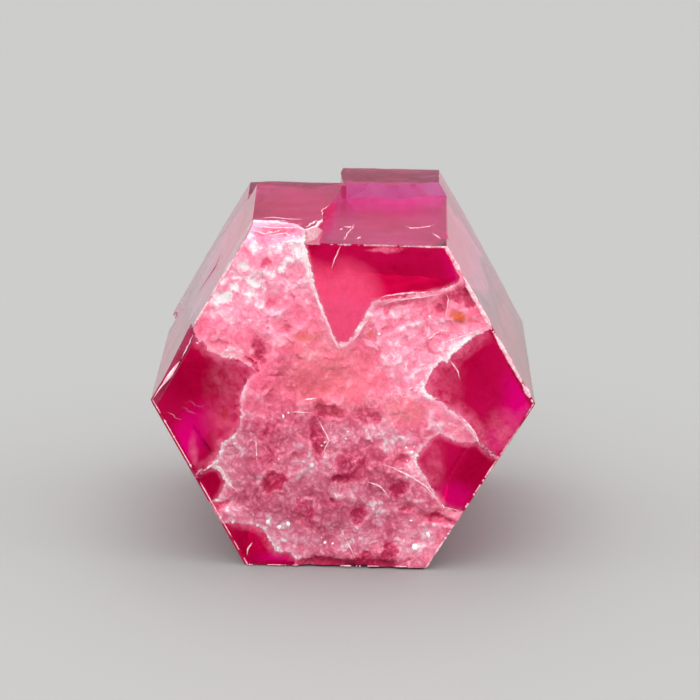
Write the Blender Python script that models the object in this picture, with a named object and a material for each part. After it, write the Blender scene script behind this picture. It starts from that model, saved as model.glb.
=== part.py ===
"""Red beryl crystal, lying on one of its long faces.

One six-sided prism, grown and broken as one piece. Its front end is a flat growth face with clear windows
round a rough, milky middle. Its back end is the break where it left the rock. The top face carries growth
ledges, and the edges carry a few chips.

Run it with: blender --background --python part.py
It is modelled in millimetres from the middle of the front face, with X to the right, Y along the crystal
away from the front face and Z up, then scaled to metres and set down on the origin.
"""

import math

import bmesh
import bpy
from mathutils import Matrix, Vector, noise

MM = 0.001
NODE = "crystal"
COLLECTION = "red_beryl_crystal"

# Driving dimensions, in millimetres.
LENGTH = 7.0
# Each long face: where its normal points seen from the front, in degrees, how far it is from the crystal's
# axis at the front end, and how much further out it is at the back end.
LONG_FACES = {
    "top": (90.0, 2.71, -0.04),
    "upper_left": (151.0, 2.61, 0.12),
    "upper_right": (30.5, 2.60, 0.06),
    "lower_left": (210.0, 2.65, 0.04),
    "lower_right": (-31.0, 2.55, 0.04),
    "underside": (-90.0, 2.68, 0.0),
}
# The lower level of the top face, which the ledges stand on.
TOP_LEVEL = 2.51
BACK_LEVEL = 2.40
LEVEL_FALL = 0.012  # the lower level's slope, down towards the back, in radians
BLOCK_TOP = 4.0  # above everything that is cut

# The rough ends are grids of small uneven cells. The block that they close is wider than the prism.
CELL = 0.145
BLOCK_CELLS = 48
CELL_UNEVENNESS = 0.28
GRID_SHIFT = Vector((0.013, 0.0, 0.029))  # keeps the cells' corners off the long faces

# Clear windows in the front face, as outlines from its middle, and how far each lies behind the face.
WINDOWS = {
    "top_right": (0.00, ((-0.65, 2.90), (1.90, 2.90), (1.78, 1.97), (1.56, 1.85), (0.99, 1.73), (0.58, 1.64),
                         (0.35, 1.47), (0.14, 1.10), (-0.06, 0.80), (-0.32, 1.30), (-0.58, 2.16))),
    "left": (0.03, ((-3.30, -0.09), (-2.64, 0.40), (-2.29, 0.84), (-2.13, 0.78), (-1.63, 0.63),
                    (-1.36, 0.46), (-1.60, 0.07), (-1.60, -0.39), (-1.89, -0.71), (-2.03, -1.05),
                    (-2.34, -1.28))),
    "low_left": (0.08, ((-2.50, -1.30), (-2.18, -1.17), (-1.95, -1.13), (-1.82, -1.34), (-1.97, -1.63),
                        (-2.30, -1.70))),
    "bottom_left": (0.04, ((-2.10, -2.01), (-1.59, -2.00), (-1.22, -2.09), (-1.01, -2.44), (-0.69, -2.58),
                           (-0.79, -2.90), (-1.60, -2.90))),
    "right": (0.00, ((2.25, 1.22), (3.20, 0.10), (2.46, -0.85), (2.02, -0.37), (1.70, -0.10), (1.32, 0.16),
                     (1.25, 0.26), (1.40, 0.58), (1.67, 0.82), (2.02, 1.12))),
    "low_right": (0.05, ((2.60, -0.90), (2.10, -1.90), (1.62, -1.67), (1.40, -1.35), (1.14, -0.90),
                         (1.40, -0.54), (1.68, -0.54), (2.12, -0.59))),
}
WINDOW_RIM = 0.10  # how far from a window the milky middle reaches its full roughness
MIDDLE_DEPTH = 0.05
LUMP_HEIGHT = 0.15
LUMP_SIZE = 0.46
TERRACE_STEP = 0.05
GRAIN_HEIGHT = 0.05
GRAIN_SIZE = 0.24

# The break at the back end: flat facets, each a slope across, a slope upwards and an offset.
BREAK_FACETS = ((0.05, -0.07, 0.10), (-0.20, 0.06, 0.16), (0.16, 0.17, 0.22), (0.03, -0.30, 0.42))
BREAK_LUMP = 0.10
BREAK_LUMP_SIZE = 0.8

# Ledges on the top face are what stays after the lower levels are cut, outlined from above as (x, y).
RIGHT_LEVEL_OUTLINE = ((-0.63, -1.00), (-0.63, 0.05), (-0.48, 0.36), (-0.40, 1.20), (-0.43, 2.00),
                       (-0.30, 2.70), (-0.22, 3.60), (-0.16, 4.60), (0.35, 4.95), (0.80, 4.75),
                       (1.35, 5.25), (2.60, 5.10), (2.60, -1.00))
BACK_LEVEL_OUTLINE = ((-2.60, 4.30), (-1.30, 4.60), (-0.62, 4.35), (-0.14, 4.90), (-0.20, 6.10),
                      (-0.06, 8.50), (-2.60, 8.50))

# Chips: shell-shaped scoops, each a middle, three radii and a turn about the crystal's axis in degrees.
CHIPS = {
    "top_left_corner": ((-1.52, -0.10, 2.80), (0.62, 0.44, 0.16), 8.0),
    "top_right_edge": ((1.66, 0.95, 2.56), (0.16, 0.42, 0.13), -30.0),
    "bottom_edge": ((0.24, -0.02, -2.74), (0.22, 0.20, 0.12), 0.0),
    "left_notch": ((-2.46, -0.06, 1.02), (0.15, 0.22, 0.17), 40.0),
    "lower_right_edge": ((1.55, 4.6, -2.62), (0.24, 0.60, 0.18), 30.0),
    "back_left_edge": ((-2.98, 5.9, 0.05), (0.20, 0.75, 0.28), 0.0),
    "back_right_corner": ((2.95, 6.9, 0.30), (0.34, 0.50, 0.45), 0.0),
    "back_top_left": ((-1.85, 6.95, 2.42), (0.50, 0.42, 0.30), 20.0),
}
CHIP_RINGS = 8
CHIP_SEGMENTS = 12

# The narrow bevel between the front face and the upper left face: where it ends and how wide it is.
BEVEL_TOP = Vector((-2.38, 0.0, 1.12))
BEVEL_BOTTOM = Vector((-3.14, 0.0, -0.22))
BEVEL_WIDTH = 0.21
BEVEL_TURN = 49.0  # degrees from the front face

# Thin growth plates on the other long faces: each a height and an outline, as (across, along).
PLATES = {
    "upper_right": (0.05, ((-0.20, 2.3), (-0.75, 2.7), (-0.95, 4.1), (-0.80, 6.3), (0.10, 6.4), (0.45, 5.2),
                           (0.20, 3.4))),
    "lower_right": (0.05, ((0.60, 3.1), (-0.15, 3.5), (-0.30, 4.8), (0.10, 5.9), (0.95, 5.6), (1.05, 4.0))),
    "lower_left": (0.05, ((-0.10, 1.6), (-0.85, 2.2), (-0.95, 3.9), (-0.40, 4.7), (0.35, 4.2), (0.45, 2.4))),
    "upper_left": (0.06, ((0.30, 3.0), (-0.55, 3.6), (-0.80, 5.0), (-0.60, 6.4), (0.55, 6.5), (0.80, 5.1))),
}
PLATE_ROOT = 0.3  # how deep a plate reaches into the crystal
WELD = 1e-4

BERYL_COLOUR = (0.62, 0.02, 0.16, 1.0)
BERYL_INDEX = 1.572


def clear_scene():
    """Removes the startup scene's objects."""
    for thing in list(bpy.data.objects):
        bpy.data.objects.remove(thing)


def new_collection(name, shown):
    """A collection under the scene. The cutters' collection isn't rendered."""
    collection = bpy.data.collections.new(name)
    bpy.context.scene.collection.children.link(collection)
    collection.hide_render = not shown
    return collection


def new_object(name, bm, collection):
    """Turns a bmesh into an object and frees the bmesh."""
    bmesh.ops.recalc_face_normals(bm, faces=bm.faces)
    mesh = bpy.data.meshes.new(name)
    bm.to_mesh(mesh)
    bm.free()
    made = bpy.data.objects.new(name, mesh)
    collection.objects.link(made)
    return made


def face_normal(face):
    """The outward normal of a long face, leaning by how much the face moves out along the crystal."""
    turn, _, spread = LONG_FACES[face]
    angle = math.radians(turn)
    return Vector((math.cos(angle), -spread / LENGTH, math.sin(angle)))


def face_point(face):
    """The point of a long face nearest the axis, at the front end."""
    turn, distance, _ = LONG_FACES[face]
    angle = math.radians(turn)
    return Vector((distance * math.cos(angle), 0.0, distance * math.sin(angle)))


def inside(x, z, outline):
    """Whether a point lies inside an outline."""
    found = False
    for (ax, az), (bx, bz) in zip(outline, outline[1:] + outline[:1]):
        if (az > z) != (bz > z) and x < ax + (z - az) * (bx - ax) / (bz - az):
            found = not found
    return found


def nearest_on(x, z, outline):
    """The point of an outline's line that is nearest to a point."""
    point = Vector((x, z))
    found = []
    for start, end in zip(outline, outline[1:] + outline[:1]):
        start, along = Vector(start), Vector(end) - Vector(start)
        share = max(0.0, min(1.0, (point - start).dot(along) / along.length_squared))
        found.append(start + along * share)
    return min(found, key=lambda place: (place - point).length)


def lumps(x, y, z, size, height):
    """Rounded lumps of about one size, between minus and plus the height."""
    return height * noise.noise(Vector((x, y, z)) / size)


def front_relief(x, z):
    """How far the front end lies behind the front face: flat in a window, lumpy between the windows."""
    gap = LENGTH
    for depth, outline in WINDOWS.values():
        if inside(x, z, outline):
            return depth
        gap = min(gap, (nearest_on(x, z, outline) - Vector((x, z))).length)
    lump = lumps(x, 3.1, z, LUMP_SIZE, LUMP_HEIGHT)
    terrace = TERRACE_STEP * round(lump / TERRACE_STEP)
    rough = MIDDLE_DEPTH + (lump + terrace) / 2 + lumps(x, 7.7, z, GRAIN_SIZE, GRAIN_HEIGHT)
    return min(1.0, gap / WINDOW_RIM) * rough


def back_relief(x, z):
    """How far the break reaches past the crystal's length: its facets, with a little waviness."""
    facet = min(across * x + upwards * z + offset for across, upwards, offset in BREAK_FACETS)
    return facet + lumps(x, 5.3, z, BREAK_LUMP_SIZE, BREAK_LUMP)


def place_corner(corner):
    """Moves a corner of the grid a little aside, or onto the line of a window that passes close to it."""
    aside = noise.cell_vector(corner / CELL * 7.0) - Vector((0.5, 0.5, 0.5))
    x = corner.x + aside.x * 2 * CELL_UNEVENNESS * CELL
    z = corner.z + aside.z * 2 * CELL_UNEVENNESS * CELL
    places = [nearest_on(x, z, outline) for _, outline in WINDOWS.values()]
    nearest = min(places, key=lambda place: (place - Vector((x, z))).length)
    if (nearest - Vector((x, z))).length < CELL / 2:
        x, z = nearest
    return Vector((x, 0.0, z))


def rough_block():
    """A block that is rough at both ends, from one grid drawn out along the crystal."""
    bm = bmesh.new()
    half = CELL * BLOCK_CELLS / 2
    bmesh.ops.create_grid(bm, x_segments=BLOCK_CELLS, y_segments=BLOCK_CELLS, size=half)
    bmesh.ops.rotate(bm, verts=bm.verts, matrix=Matrix.Rotation(math.radians(90), 3, "X"))
    bmesh.ops.translate(bm, verts=bm.verts, vec=GRID_SHIFT)
    for vert in bm.verts:
        if not vert.is_boundary:
            vert.co = place_corner(vert.co)
    bmesh.ops.triangulate(bm, faces=bm.faces)
    front = list(bm.verts)
    drawn = bmesh.ops.extrude_face_region(bm, geom=list(bm.faces), use_keep_orig=True)
    back = [part for part in drawn["geom"] if isinstance(part, bmesh.types.BMVert)]
    for vert in front:
        vert.co.y = front_relief(vert.co.x, vert.co.z)
    for vert in back:
        vert.co.y = LENGTH + back_relief(vert.co.x, vert.co.z)
    return bm


def trim(bm, point, normal):
    """Cuts away what lies outside a plane and closes the cut with one flat face."""
    everything = list(bm.verts) + list(bm.edges) + list(bm.faces)
    cut = bmesh.ops.bisect_plane(
        bm, geom=everything, dist=1e-5, plane_co=point, plane_no=normal, clear_outer=True
    )
    edges = [part for part in cut["geom_cut"] if isinstance(part, bmesh.types.BMEdge)]
    bmesh.ops.edgeloop_fill(bm, edges=edges)


def prism():
    """The block trimmed by the six long faces."""
    bm = rough_block()
    for face in LONG_FACES:
        trim(bm, face_point(face), face_normal(face))
    return bm


def slab(outline, bottom, top, turn):
    """A flat slab over an outline, lying on top of the crystal, then turned about the crystal's axis."""
    curve = bpy.data.curves.new("outline", "CURVE")
    curve.dimensions = "2D"
    curve.fill_mode = "BOTH"
    curve.extrude = (top - bottom) / 2
    spline = curve.splines.new("POLY")
    spline.points.add(len(outline) - 1)
    for point, (across, along) in zip(spline.points, outline):
        point.co = (across, along, 0.0, 1.0)
    spline.use_cyclic_u = True
    drawn = bpy.data.objects.new("outline", curve)
    bpy.context.scene.collection.objects.link(drawn)
    graph = bpy.context.evaluated_depsgraph_get()
    bm = bmesh.new()
    bm.from_mesh(bpy.data.meshes.new_from_object(drawn.evaluated_get(graph)))
    bpy.data.objects.remove(drawn)
    bmesh.ops.remove_doubles(bm, verts=bm.verts, dist=WELD)
    bmesh.ops.translate(bm, verts=bm.verts, vec=(0.0, 0.0, (top + bottom) / 2))
    bmesh.ops.rotate(bm, verts=bm.verts, matrix=Matrix.Rotation(math.radians(-turn), 3, "Y"))
    return bm


def scoop(middle, radii, turn):
    """A shell-shaped cutter: a ball drawn out along three axes, then turned about the crystal's axis."""
    bm = bmesh.new()
    bmesh.ops.create_uvsphere(bm, u_segments=CHIP_SEGMENTS, v_segments=CHIP_RINGS, radius=1.0)
    bmesh.ops.scale(bm, verts=bm.verts, vec=radii)
    bmesh.ops.rotate(bm, verts=bm.verts, matrix=Matrix.Rotation(math.radians(-turn), 3, "Y"))
    bmesh.ops.translate(bm, verts=bm.verts, vec=middle)
    return bm


def bevel_cutter():
    """A long box whose inner side is the bevel. It lies along the front edge of the upper left face."""
    along = BEVEL_TOP - BEVEL_BOTTOM
    bm = bmesh.new()
    bmesh.ops.create_cube(bm, size=1.0)
    box_width = 4 * BEVEL_WIDTH
    bmesh.ops.scale(bm, verts=bm.verts, vec=(box_width, box_width, along.length))
    bmesh.ops.rotate(bm, verts=bm.verts, matrix=Matrix.Rotation(math.radians(BEVEL_TURN), 3, "Z"))
    lean = Vector((0.0, 0.0, 1.0)).rotation_difference(along).to_matrix()
    bmesh.ops.rotate(bm, verts=bm.verts, matrix=lean)
    outwards = Vector((-math.cos(math.radians(BEVEL_TURN)), -math.sin(math.radians(BEVEL_TURN)), 0.0))
    reach = box_width / 2 - BEVEL_WIDTH / 2
    bmesh.ops.translate(bm, verts=bm.verts, vec=(BEVEL_TOP + BEVEL_BOTTOM) / 2 + lean @ outwards * reach)
    return bm


def plate(face, height, outline):
    """A thin plate that stands on a long face."""
    turn, distance, _ = LONG_FACES[face]
    return slab(outline, distance - PLATE_ROOT, distance + height, turn - 90.0)


def lower_level():
    """What is cut from the right of the top face. It reaches a little deeper towards the back."""
    bm = slab(RIGHT_LEVEL_OUTLINE, 0.0, BLOCK_TOP - TOP_LEVEL, 0.0)
    bmesh.ops.rotate(bm, verts=bm.verts, matrix=Matrix.Rotation(-LEVEL_FALL, 3, "X"))
    bmesh.ops.translate(bm, verts=bm.verts, vec=(0.0, 0.0, TOP_LEVEL))
    return bm


def carve(target, cutter, operation):
    """Joins or cuts one mesh with another, and keeps the result."""
    modifier = target.modifiers.new(cutter.name, "BOOLEAN")
    modifier.operation = operation
    modifier.solver = "EXACT"
    modifier.object = cutter
    graph = bpy.context.evaluated_depsgraph_get()
    result = bpy.data.meshes.new_from_object(target.evaluated_get(graph))
    target.modifiers.clear()
    target.data = result


def beryl():
    """Clear raspberry-red beryl."""
    material = bpy.data.materials.new("red_beryl")
    material.use_nodes = True
    shader = material.node_tree.nodes["Principled BSDF"]
    shader.inputs["Base Color"].default_value = BERYL_COLOUR
    shader.inputs["Roughness"].default_value = 0.08
    shader.inputs["Metallic"].default_value = 0.0
    shader.inputs["IOR"].default_value = BERYL_INDEX
    shader.inputs["Transmission Weight"].default_value = 0.6
    return material


def settle(crystal):
    """Scales to metres and puts the middle of the underside's box on the origin."""
    crystal.data.transform(Matrix.Scale(MM, 4))
    places = [vert.co for vert in crystal.data.vertices]
    low = [min(place[axis] for place in places) for axis in range(3)]
    high = [max(place[axis] for place in places) for axis in range(3)]
    middle = Vector(((low[0] + high[0]) / 2, (low[1] + high[1]) / 2, low[2]))
    crystal.data.transform(Matrix.Translation(-middle))


def main():
    """Builds the crystal."""
    clear_scene()
    parts = new_collection(COLLECTION, True)
    cutters = new_collection("cutters", False)
    crystal = new_object(NODE, prism(), parts)

    cuts = {
        "right_level": lower_level(),
        "back_level": slab(BACK_LEVEL_OUTLINE, BACK_LEVEL, BLOCK_TOP, 0.0),
        "bevel": bevel_cutter(),
    }
    for face, (height, outline) in PLATES.items():
        carve(crystal, new_object(f"{face}_plate", plate(face, height, outline), cutters), "UNION")
    for name, cut in cuts.items():
        carve(crystal, new_object(name, cut, cutters), "DIFFERENCE")
    for name, sizes in CHIPS.items():
        carve(crystal, new_object(name, scoop(*sizes), cutters), "DIFFERENCE")

    settle(crystal)
    crystal.data.materials.clear()
    crystal.data.materials.append(beryl())
    for cutter in list(cutters.objects):
        bpy.data.objects.remove(cutter)


main()
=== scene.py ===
"""Red beryl crystal: its fine surface, its milky inside and the stage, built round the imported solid."""

import functools
import logging
import math
from dataclasses import dataclass, field
from enum import Enum

import bmesh
import bpy
import numpy as np
from mathutils import Matrix, Vector, noise


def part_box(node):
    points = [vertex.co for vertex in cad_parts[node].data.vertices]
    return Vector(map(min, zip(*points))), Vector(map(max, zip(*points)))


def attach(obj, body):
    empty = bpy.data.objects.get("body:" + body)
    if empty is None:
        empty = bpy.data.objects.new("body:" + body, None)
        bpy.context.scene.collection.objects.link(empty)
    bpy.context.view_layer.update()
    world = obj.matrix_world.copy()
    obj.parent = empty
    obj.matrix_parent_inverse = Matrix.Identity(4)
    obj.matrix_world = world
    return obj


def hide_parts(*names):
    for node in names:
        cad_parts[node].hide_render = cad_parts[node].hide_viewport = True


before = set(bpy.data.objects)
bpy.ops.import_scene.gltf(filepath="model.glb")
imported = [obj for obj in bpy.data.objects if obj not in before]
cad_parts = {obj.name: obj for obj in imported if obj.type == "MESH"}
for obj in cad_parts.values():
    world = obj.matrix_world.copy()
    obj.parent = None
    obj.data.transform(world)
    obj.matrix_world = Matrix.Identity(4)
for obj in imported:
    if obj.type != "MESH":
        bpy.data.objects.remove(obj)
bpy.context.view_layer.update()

log = logging.getLogger("red_beryl")

MM = 0.001
NODE = "crystal"
# From the node's lowest corner to the middle of the front face, in millimetres.
LOW_TO_FRONT_CENTRE = Vector((3.1108, 0.0653, 2.68))

Outline = tuple[tuple[float, float], ...]
Colour = tuple[float, float, float]
BMesh = bmesh.types.BMesh
Piece = bpy.types.Object
Socket = bpy.types.NodeSocket
Material = bpy.types.Material
# A noise's size in millimetres, its detail and its roughness
Grain = tuple[float, float, float]


def front_centre() -> Vector:
    """The middle of the crystal's front face in the frame, in metres."""
    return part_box(NODE)[0] + LOW_TO_FRONT_CENTRE * MM


# ---- Shape of the crystal ----
# In millimetres from the middle of its front face: X right, Y along it, Z up.


@dataclass(frozen=True)
class LongFace:
    """One of the six faces along the crystal.

    Args:
        turn: where its normal points seen from the front, in degrees.
        distance: how far it is from the axis at the front end.
        spread: how much further out it is at the back end.
        chamfer: how wide the worn chamfer on its front edge is.
    """

    turn: float
    distance: float
    spread: float
    chamfer: float

    def normal(self) -> Vector:
        """Its outward normal."""
        angle = math.radians(self.turn)
        return Vector((math.cos(angle), -self.spread / Prism.LENGTH, math.sin(angle))).normalized()

    def point(self, inset: float = 0.0) -> Vector:
        """The point nearest the axis at the front end, moved inwards by the inset."""
        angle = math.radians(self.turn)
        reach = self.distance - inset
        return Vector((reach * math.cos(angle), 0.0, reach * math.sin(angle)))


class Prism:
    """Sizes that the clear body and the milky zone share."""

    LENGTH = 7.0
    TOP = LongFace(90.0, 2.71, -0.04, 0.0)
    FACES = (
        TOP,
        LongFace(151.0, 2.61, 0.12, 0.05),
        LongFace(30.5, 2.60, 0.06, 0.07),
        LongFace(210.0, 2.65, 0.04, 0.07),
        LongFace(-31.0, 2.55, 0.04, 0.03),
        LongFace(-90.0, 2.68, 0.0, 0.05),
    )
    TOP_LEVEL = 2.51
    BACK_LEVEL = 2.40
    LEVEL_FALL = 0.012
    BLOCK_TOP = 4.0
    GRID_SHIFT = Vector((0.013, 0.0, 0.029))


class Layer:
    """Heights in the noise field: what reads it at another height gets other lumps."""

    SHARDS_ASIDE, SHARDS_UP = 2.2, 9.2
    MILK, GRAIN = 3.1, 7.7
    PATCHES_ASIDE, PATCHES_UP = 6.1, 11.7
    BREAK, BREAK_FINE, BREAK_SEAMS = 5.3, 8.1, 1.7
    CRACKS_ASIDE, CRACKS_UP = 0.7, 5.7
    TOP_ASIDE, TOP_ALONG = 4.4, 8.8
    RIM, RIM_STEP = 2.0, 3.3
    # So that neighbouring corners, and neighbouring shards, draw unlike random numbers
    CORNER_SPREAD, SHARD_SPREAD = 7.0, 31.7


@dataclass(frozen=True)
class Window:
    """A clear window in the front face.

    Args:
        depth: how far it lies behind the front face.
        fade: how far the milk thins out into it.
        outline: its corners as (x, z).
    """

    depth: float
    fade: float
    outline: Outline


WINDOWS: dict[str, Window] = {
    "top_right": Window(0.00, 0.06, (
        (-0.65, 2.90), (1.90, 2.90), (1.63, 2.33), (1.78, 1.97), (1.56, 1.85), (1.30, 1.78), (0.99, 1.73),
        (0.76, 1.67), (0.58, 1.64), (0.43, 1.62), (0.34, 1.46), (0.24, 1.27), (0.14, 1.09), (0.04, 0.97),
        (-0.09, 0.93), (-0.18, 1.05), (-0.31, 1.36), (-0.44, 1.70), (-0.57, 2.16), (-0.65, 2.46))),
    "left": Window(0.03, 0.15, (
        (-3.30, -0.09), (-3.00, 0.60), (-2.55, 1.20), (-2.36, 1.10), (-2.27, 0.90), (-2.21, 0.93),
        (-2.13, 0.78), (-1.91, 0.67), (-1.63, 0.63), (-1.36, 0.46), (-1.50, 0.31), (-1.60, 0.07),
        (-1.60, -0.39), (-1.73, -0.59), (-1.89, -0.71), (-1.93, -0.90), (-2.03, -1.05), (-2.23, -1.17),
        (-2.34, -1.28))),
    "low_left": Window(0.08, 0.08, (
        (-2.50, -1.35), (-2.30, -1.29), (-2.20, -1.19), (-2.05, -1.12), (-1.94, -1.14), (-1.82, -1.35),
        (-1.89, -1.52), (-1.97, -1.64), (-2.11, -1.68), (-2.30, -1.76))),
    "bottom_left": Window(0.04, 0.14, (
        (-2.10, -2.01), (-1.90, -2.01), (-1.59, -2.00), (-1.37, -2.02), (-1.22, -2.09), (-1.11, -2.28),
        (-1.01, -2.44), (-0.79, -2.47), (-0.69, -2.58), (-0.79, -2.90), (-1.60, -2.90))),
    "right": Window(0.00, 0.24, (
        (2.25, 1.22), (2.60, 1.30), (3.20, 0.10), (2.75, -0.35), (2.46, -0.85), (2.26, -0.70),
        (2.12, -0.56), (2.02, -0.37), (1.87, -0.23), (1.70, -0.10), (1.51, 0.04), (1.32, 0.16),
        (1.25, 0.26), (1.31, 0.42), (1.40, 0.58), (1.52, 0.74), (1.60, 0.68), (1.67, 0.82), (1.84, 0.96),
        (2.02, 1.12))),
    "low_right": Window(0.05, 0.10, (
        (2.60, -0.90), (2.10, -1.90), (1.93, -1.73), (1.79, -1.73), (1.62, -1.67), (1.52, -1.54),
        (1.40, -1.35), (1.34, -1.22), (1.22, -1.06), (1.14, -0.90), (1.22, -0.77), (1.32, -0.64),
        (1.40, -0.54), (1.52, -0.48), (1.68, -0.54), (1.84, -0.60), (1.99, -0.61), (2.12, -0.59),
        (2.28, -0.75), (2.44, -0.90))),
}


@dataclass(frozen=True)
class Shards:
    """A broken surface made up of shards, each with its own level and tilt.

    Args:
        size: about how wide a shard is.
        crinkle: how far the seams between shards wander.
        step: how far apart the levels of two shards can be.
        tilt: how steeply a shard can lean.
        wander: how large the seams' windings are, as a share of a shard.
        seam: how wide a seam is, as a share of a shard.
    """

    size: float
    crinkle: float
    step: float
    tilt: float
    wander: float = 0.7
    seam: float = 0.2

    def survey(self, places: np.ndarray) -> tuple[np.ndarray, np.ndarray, np.ndarray, np.ndarray]:
        """Finds the shard at each place.

        Args:
            places: one (x, z) a row.

        Returns:
            The middle of the shard at each place, the surface's height there, a random number from 0 to 1
            that the whole shard shares, and how near the place is to a seam, from 0 to 1.
        """
        middles, heights, shares, seams = [], [], [], []
        for x, z in places:
            wander_x = self.crinkle * lumps(x, Layer.SHARDS_ASIDE, z, self.wander * self.size)
            wander_z = self.crinkle * lumps(x, Layer.SHARDS_UP, z, self.wander * self.size)
            wandered = Vector((x + wander_x, self.size, z + wander_z))
            distances, points = noise.voronoi(wandered / self.size)
            middle = points[0] * self.size
            chance = noise.cell_vector(points[0] * Layer.SHARD_SPREAD)
            lean = Vector((chance.x - 0.5, chance.z - 0.5)) * 2 * self.tilt
            middles.append((middle.x, middle.z))
            heights.append(self.step * (chance.y - 0.5) + lean.dot(wandered.xz - middle.xz))
            shares.append(chance.y)
            seams.append(max(0.0, 1.0 - (distances[1] - distances[0]) / self.seam))
        return np.array(middles), np.array(heights), np.array(shares), np.array(seams)


@dataclass(frozen=True)
class Relief:
    """How far the rough part of the front end lies behind the front face."""

    level: float = 0.03
    lump_height: float = 0.05
    lump_size: float = 0.46
    hollow_depth: float = 0.06
    crest_height: float = 0.012
    grain_height: float = 0.008
    grain_size: float = 0.08
    rim: float = 0.05
    run_out: float = 0.14
    milk_in_front: float = 0.016
    clear_behind: float = 0.14
    lip_height: float = 2.50
    lip_slope: float = 1.2
    lip_reach: float = 0.25
    large: Shards = Shards(0.46, 0.12, 0.030, 0.08)
    small: Shards = Shards(0.17, 0.05, 0.012, 0.12)

    def rough(self, places: np.ndarray) -> np.ndarray:
        """The depth of the milky surface at each place (x, z) without its shards."""
        lump = np.array([lumps(x, Layer.MILK, z, self.lump_size) for x, z in places])
        lip = self.lip_slope * np.clip(places[:, 1] - self.lip_height, 0.0, self.lip_reach)
        hollow = self.hollow_depth * tone_amount(Tone.HOLLOW, places)
        return self.level + self.lump_height * lump + lip + hollow

    def flush(self, places: np.ndarray, depths: np.ndarray, in_front: float) -> np.ndarray:
        """Lets a rough surface run out level with the windows.

        Args:
            places: one (x, z) a row.
            depths: how far the surface lies behind the front face there.
            in_front: how far in front of a window it ends.

        Returns:
            The new depths.
        """
        gap, level = nearest_window(places)
        level = level - in_front
        share = np.clip((gap - self.rim) / self.run_out, 0.0, 1.0)
        return level + (depths - level) * share * (2 - share)

    def clear(self, places: np.ndarray) -> np.ndarray:
        """The depth of the clear surface at each place (x, z)."""
        return self.flush(places, self.rough(places) + self.clear_behind, 0.0)

    def milky(self, places: np.ndarray) -> np.ndarray:
        """The depth of the milky surface at each place (x, z), with tilted shards, crests and grain."""
        depths = self.rough(places)
        for shards in (self.large, self.small):
            _, heights, _, seams = shards.survey(places)
            depths -= heights + self.crest_height * seams
        grain = np.array([lumps(x, Layer.GRAIN, z, self.grain_size) for x, z in places])
        return self.flush(places, depths + self.grain_height * grain, self.milk_in_front)


def nearest_on(place: Vector, outline: Outline) -> Vector:
    """The point of an outline's line that is nearest to a place.

    Args:
        place: a point (x, z).
        outline: the corners of the outline.

    Returns:
        The nearest point, as (x, z).
    """
    found = []
    for start, end in zip(outline, outline[1:] + outline[:1]):
        first, along = Vector(start), Vector(end) - Vector(start)
        share = max(0.0, min(1.0, (place - first).dot(along) / along.length_squared))
        found.append(first + along * share)
    return min(found, key=lambda candidate: (candidate - place).length)


def depth_into(places: np.ndarray, outline: Outline) -> np.ndarray:
    """How far each place lies inside an outline, in millimetres.

    Args:
        places: one (x, z) a row.
        outline: the corners of the outline.

    Returns:
        The distance to the outline's line, positive inside and negative outside.
    """
    corners = np.array(outline)
    inside = np.zeros(len(places), bool)
    nearest = np.full(len(places), np.inf)
    for start, end in zip(corners, np.roll(corners, -1, axis=0)):
        along = end - start
        offset = places - start
        share = np.clip(offset @ along / (along @ along), 0.0, 1.0)
        nearest = np.minimum(nearest, np.linalg.norm(offset - share[:, None] * along, axis=1))
        crosses = (start[1] > places[:, 1]) != (end[1] > places[:, 1])
        rise = along[1] if abs(along[1]) > 1e-9 else 1e-9
        inside ^= crosses & (places[:, 0] < start[0] + (places[:, 1] - start[1]) * along[0] / rise)
    return np.where(inside, nearest, -nearest)


def nearest_window(places: np.ndarray) -> tuple[np.ndarray, np.ndarray]:
    """Finds the window nearest to each place.

    Args:
        places: one (x, z) a row.

    Returns:
        How far away it is, negative inside it, and how far it lies behind the front face.
    """
    gaps = np.array([-depth_into(places, window.outline) for window in WINDOWS.values()])
    depths = np.array([window.depth for window in WINDOWS.values()])
    return np.min(gaps, axis=0), depths[np.argmin(gaps, axis=0)]


def window_gap(places: np.ndarray) -> np.ndarray:
    """How far each place (x, z) is from the nearest window, negative inside one."""
    return nearest_window(places)[0]


def lumps(x: float, y: float, z: float, size: float) -> float:
    """Rounded lumps of about one size, between about -1 and 1."""
    return noise.noise(Vector((x, y, z)) / size)


def ridges(x: float, y: float, z: float, size: float, width: float = 0.25) -> float:
    """1 on the seams between cells of about one size, falling to 0 inside the cells."""
    distances, _ = noise.voronoi(Vector((x, y, z)) / size)
    return max(0.0, 1.0 - (distances[1] - distances[0]) / width)


class Tone(Enum):
    """What sets a patch of the milky zone or of a window apart from the rest."""

    PALE = "pale"
    HOLLOW = "hollow"
    WARM = "warm"
    DUSTY_AND_SHADED = "dusty"
    RUST = "rust"
    MILKY = "milky"
    THICK = "thick"
    HAZE = "haze"
    # Painted light and painted shade in the windows
    GLOW = "glow"
    PAINTED_SHADE = "shade"


@dataclass(frozen=True)
class Patch:
    """A soft-edged oval on the front end.

    Args:
        x: where its middle is, to the right.
        z: where its middle is, upwards.
        half_width: half its width before it is turned.
        half_height: half its height before it is turned.
        turn: how far it is turned, in degrees, anticlockwise seen from the front.
        strength: 1 for the full effect.
        softness: 0 for a crisp edge, 1 for an edge that fades from the middle outwards.
    """

    x: float
    z: float
    half_width: float
    half_height: float
    turn: float
    strength: float
    softness: float = 0.5

    def amount(self, places: np.ndarray) -> np.ndarray:
        """How strong the patch is at each place (x, z)."""
        angle = math.radians(self.turn)
        offset = places - np.array((self.x, self.z))
        across = (offset[:, 0] * math.cos(angle) + offset[:, 1] * math.sin(angle)) / self.half_width
        upwards = (offset[:, 1] * math.cos(angle) - offset[:, 0] * math.sin(angle)) / self.half_height
        distance = np.hypot(across, upwards)
        share = np.clip((1 + self.softness - distance) / (2 * self.softness), 0.0, 1.0)
        return self.strength * share * share * (3 - 2 * share)


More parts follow.
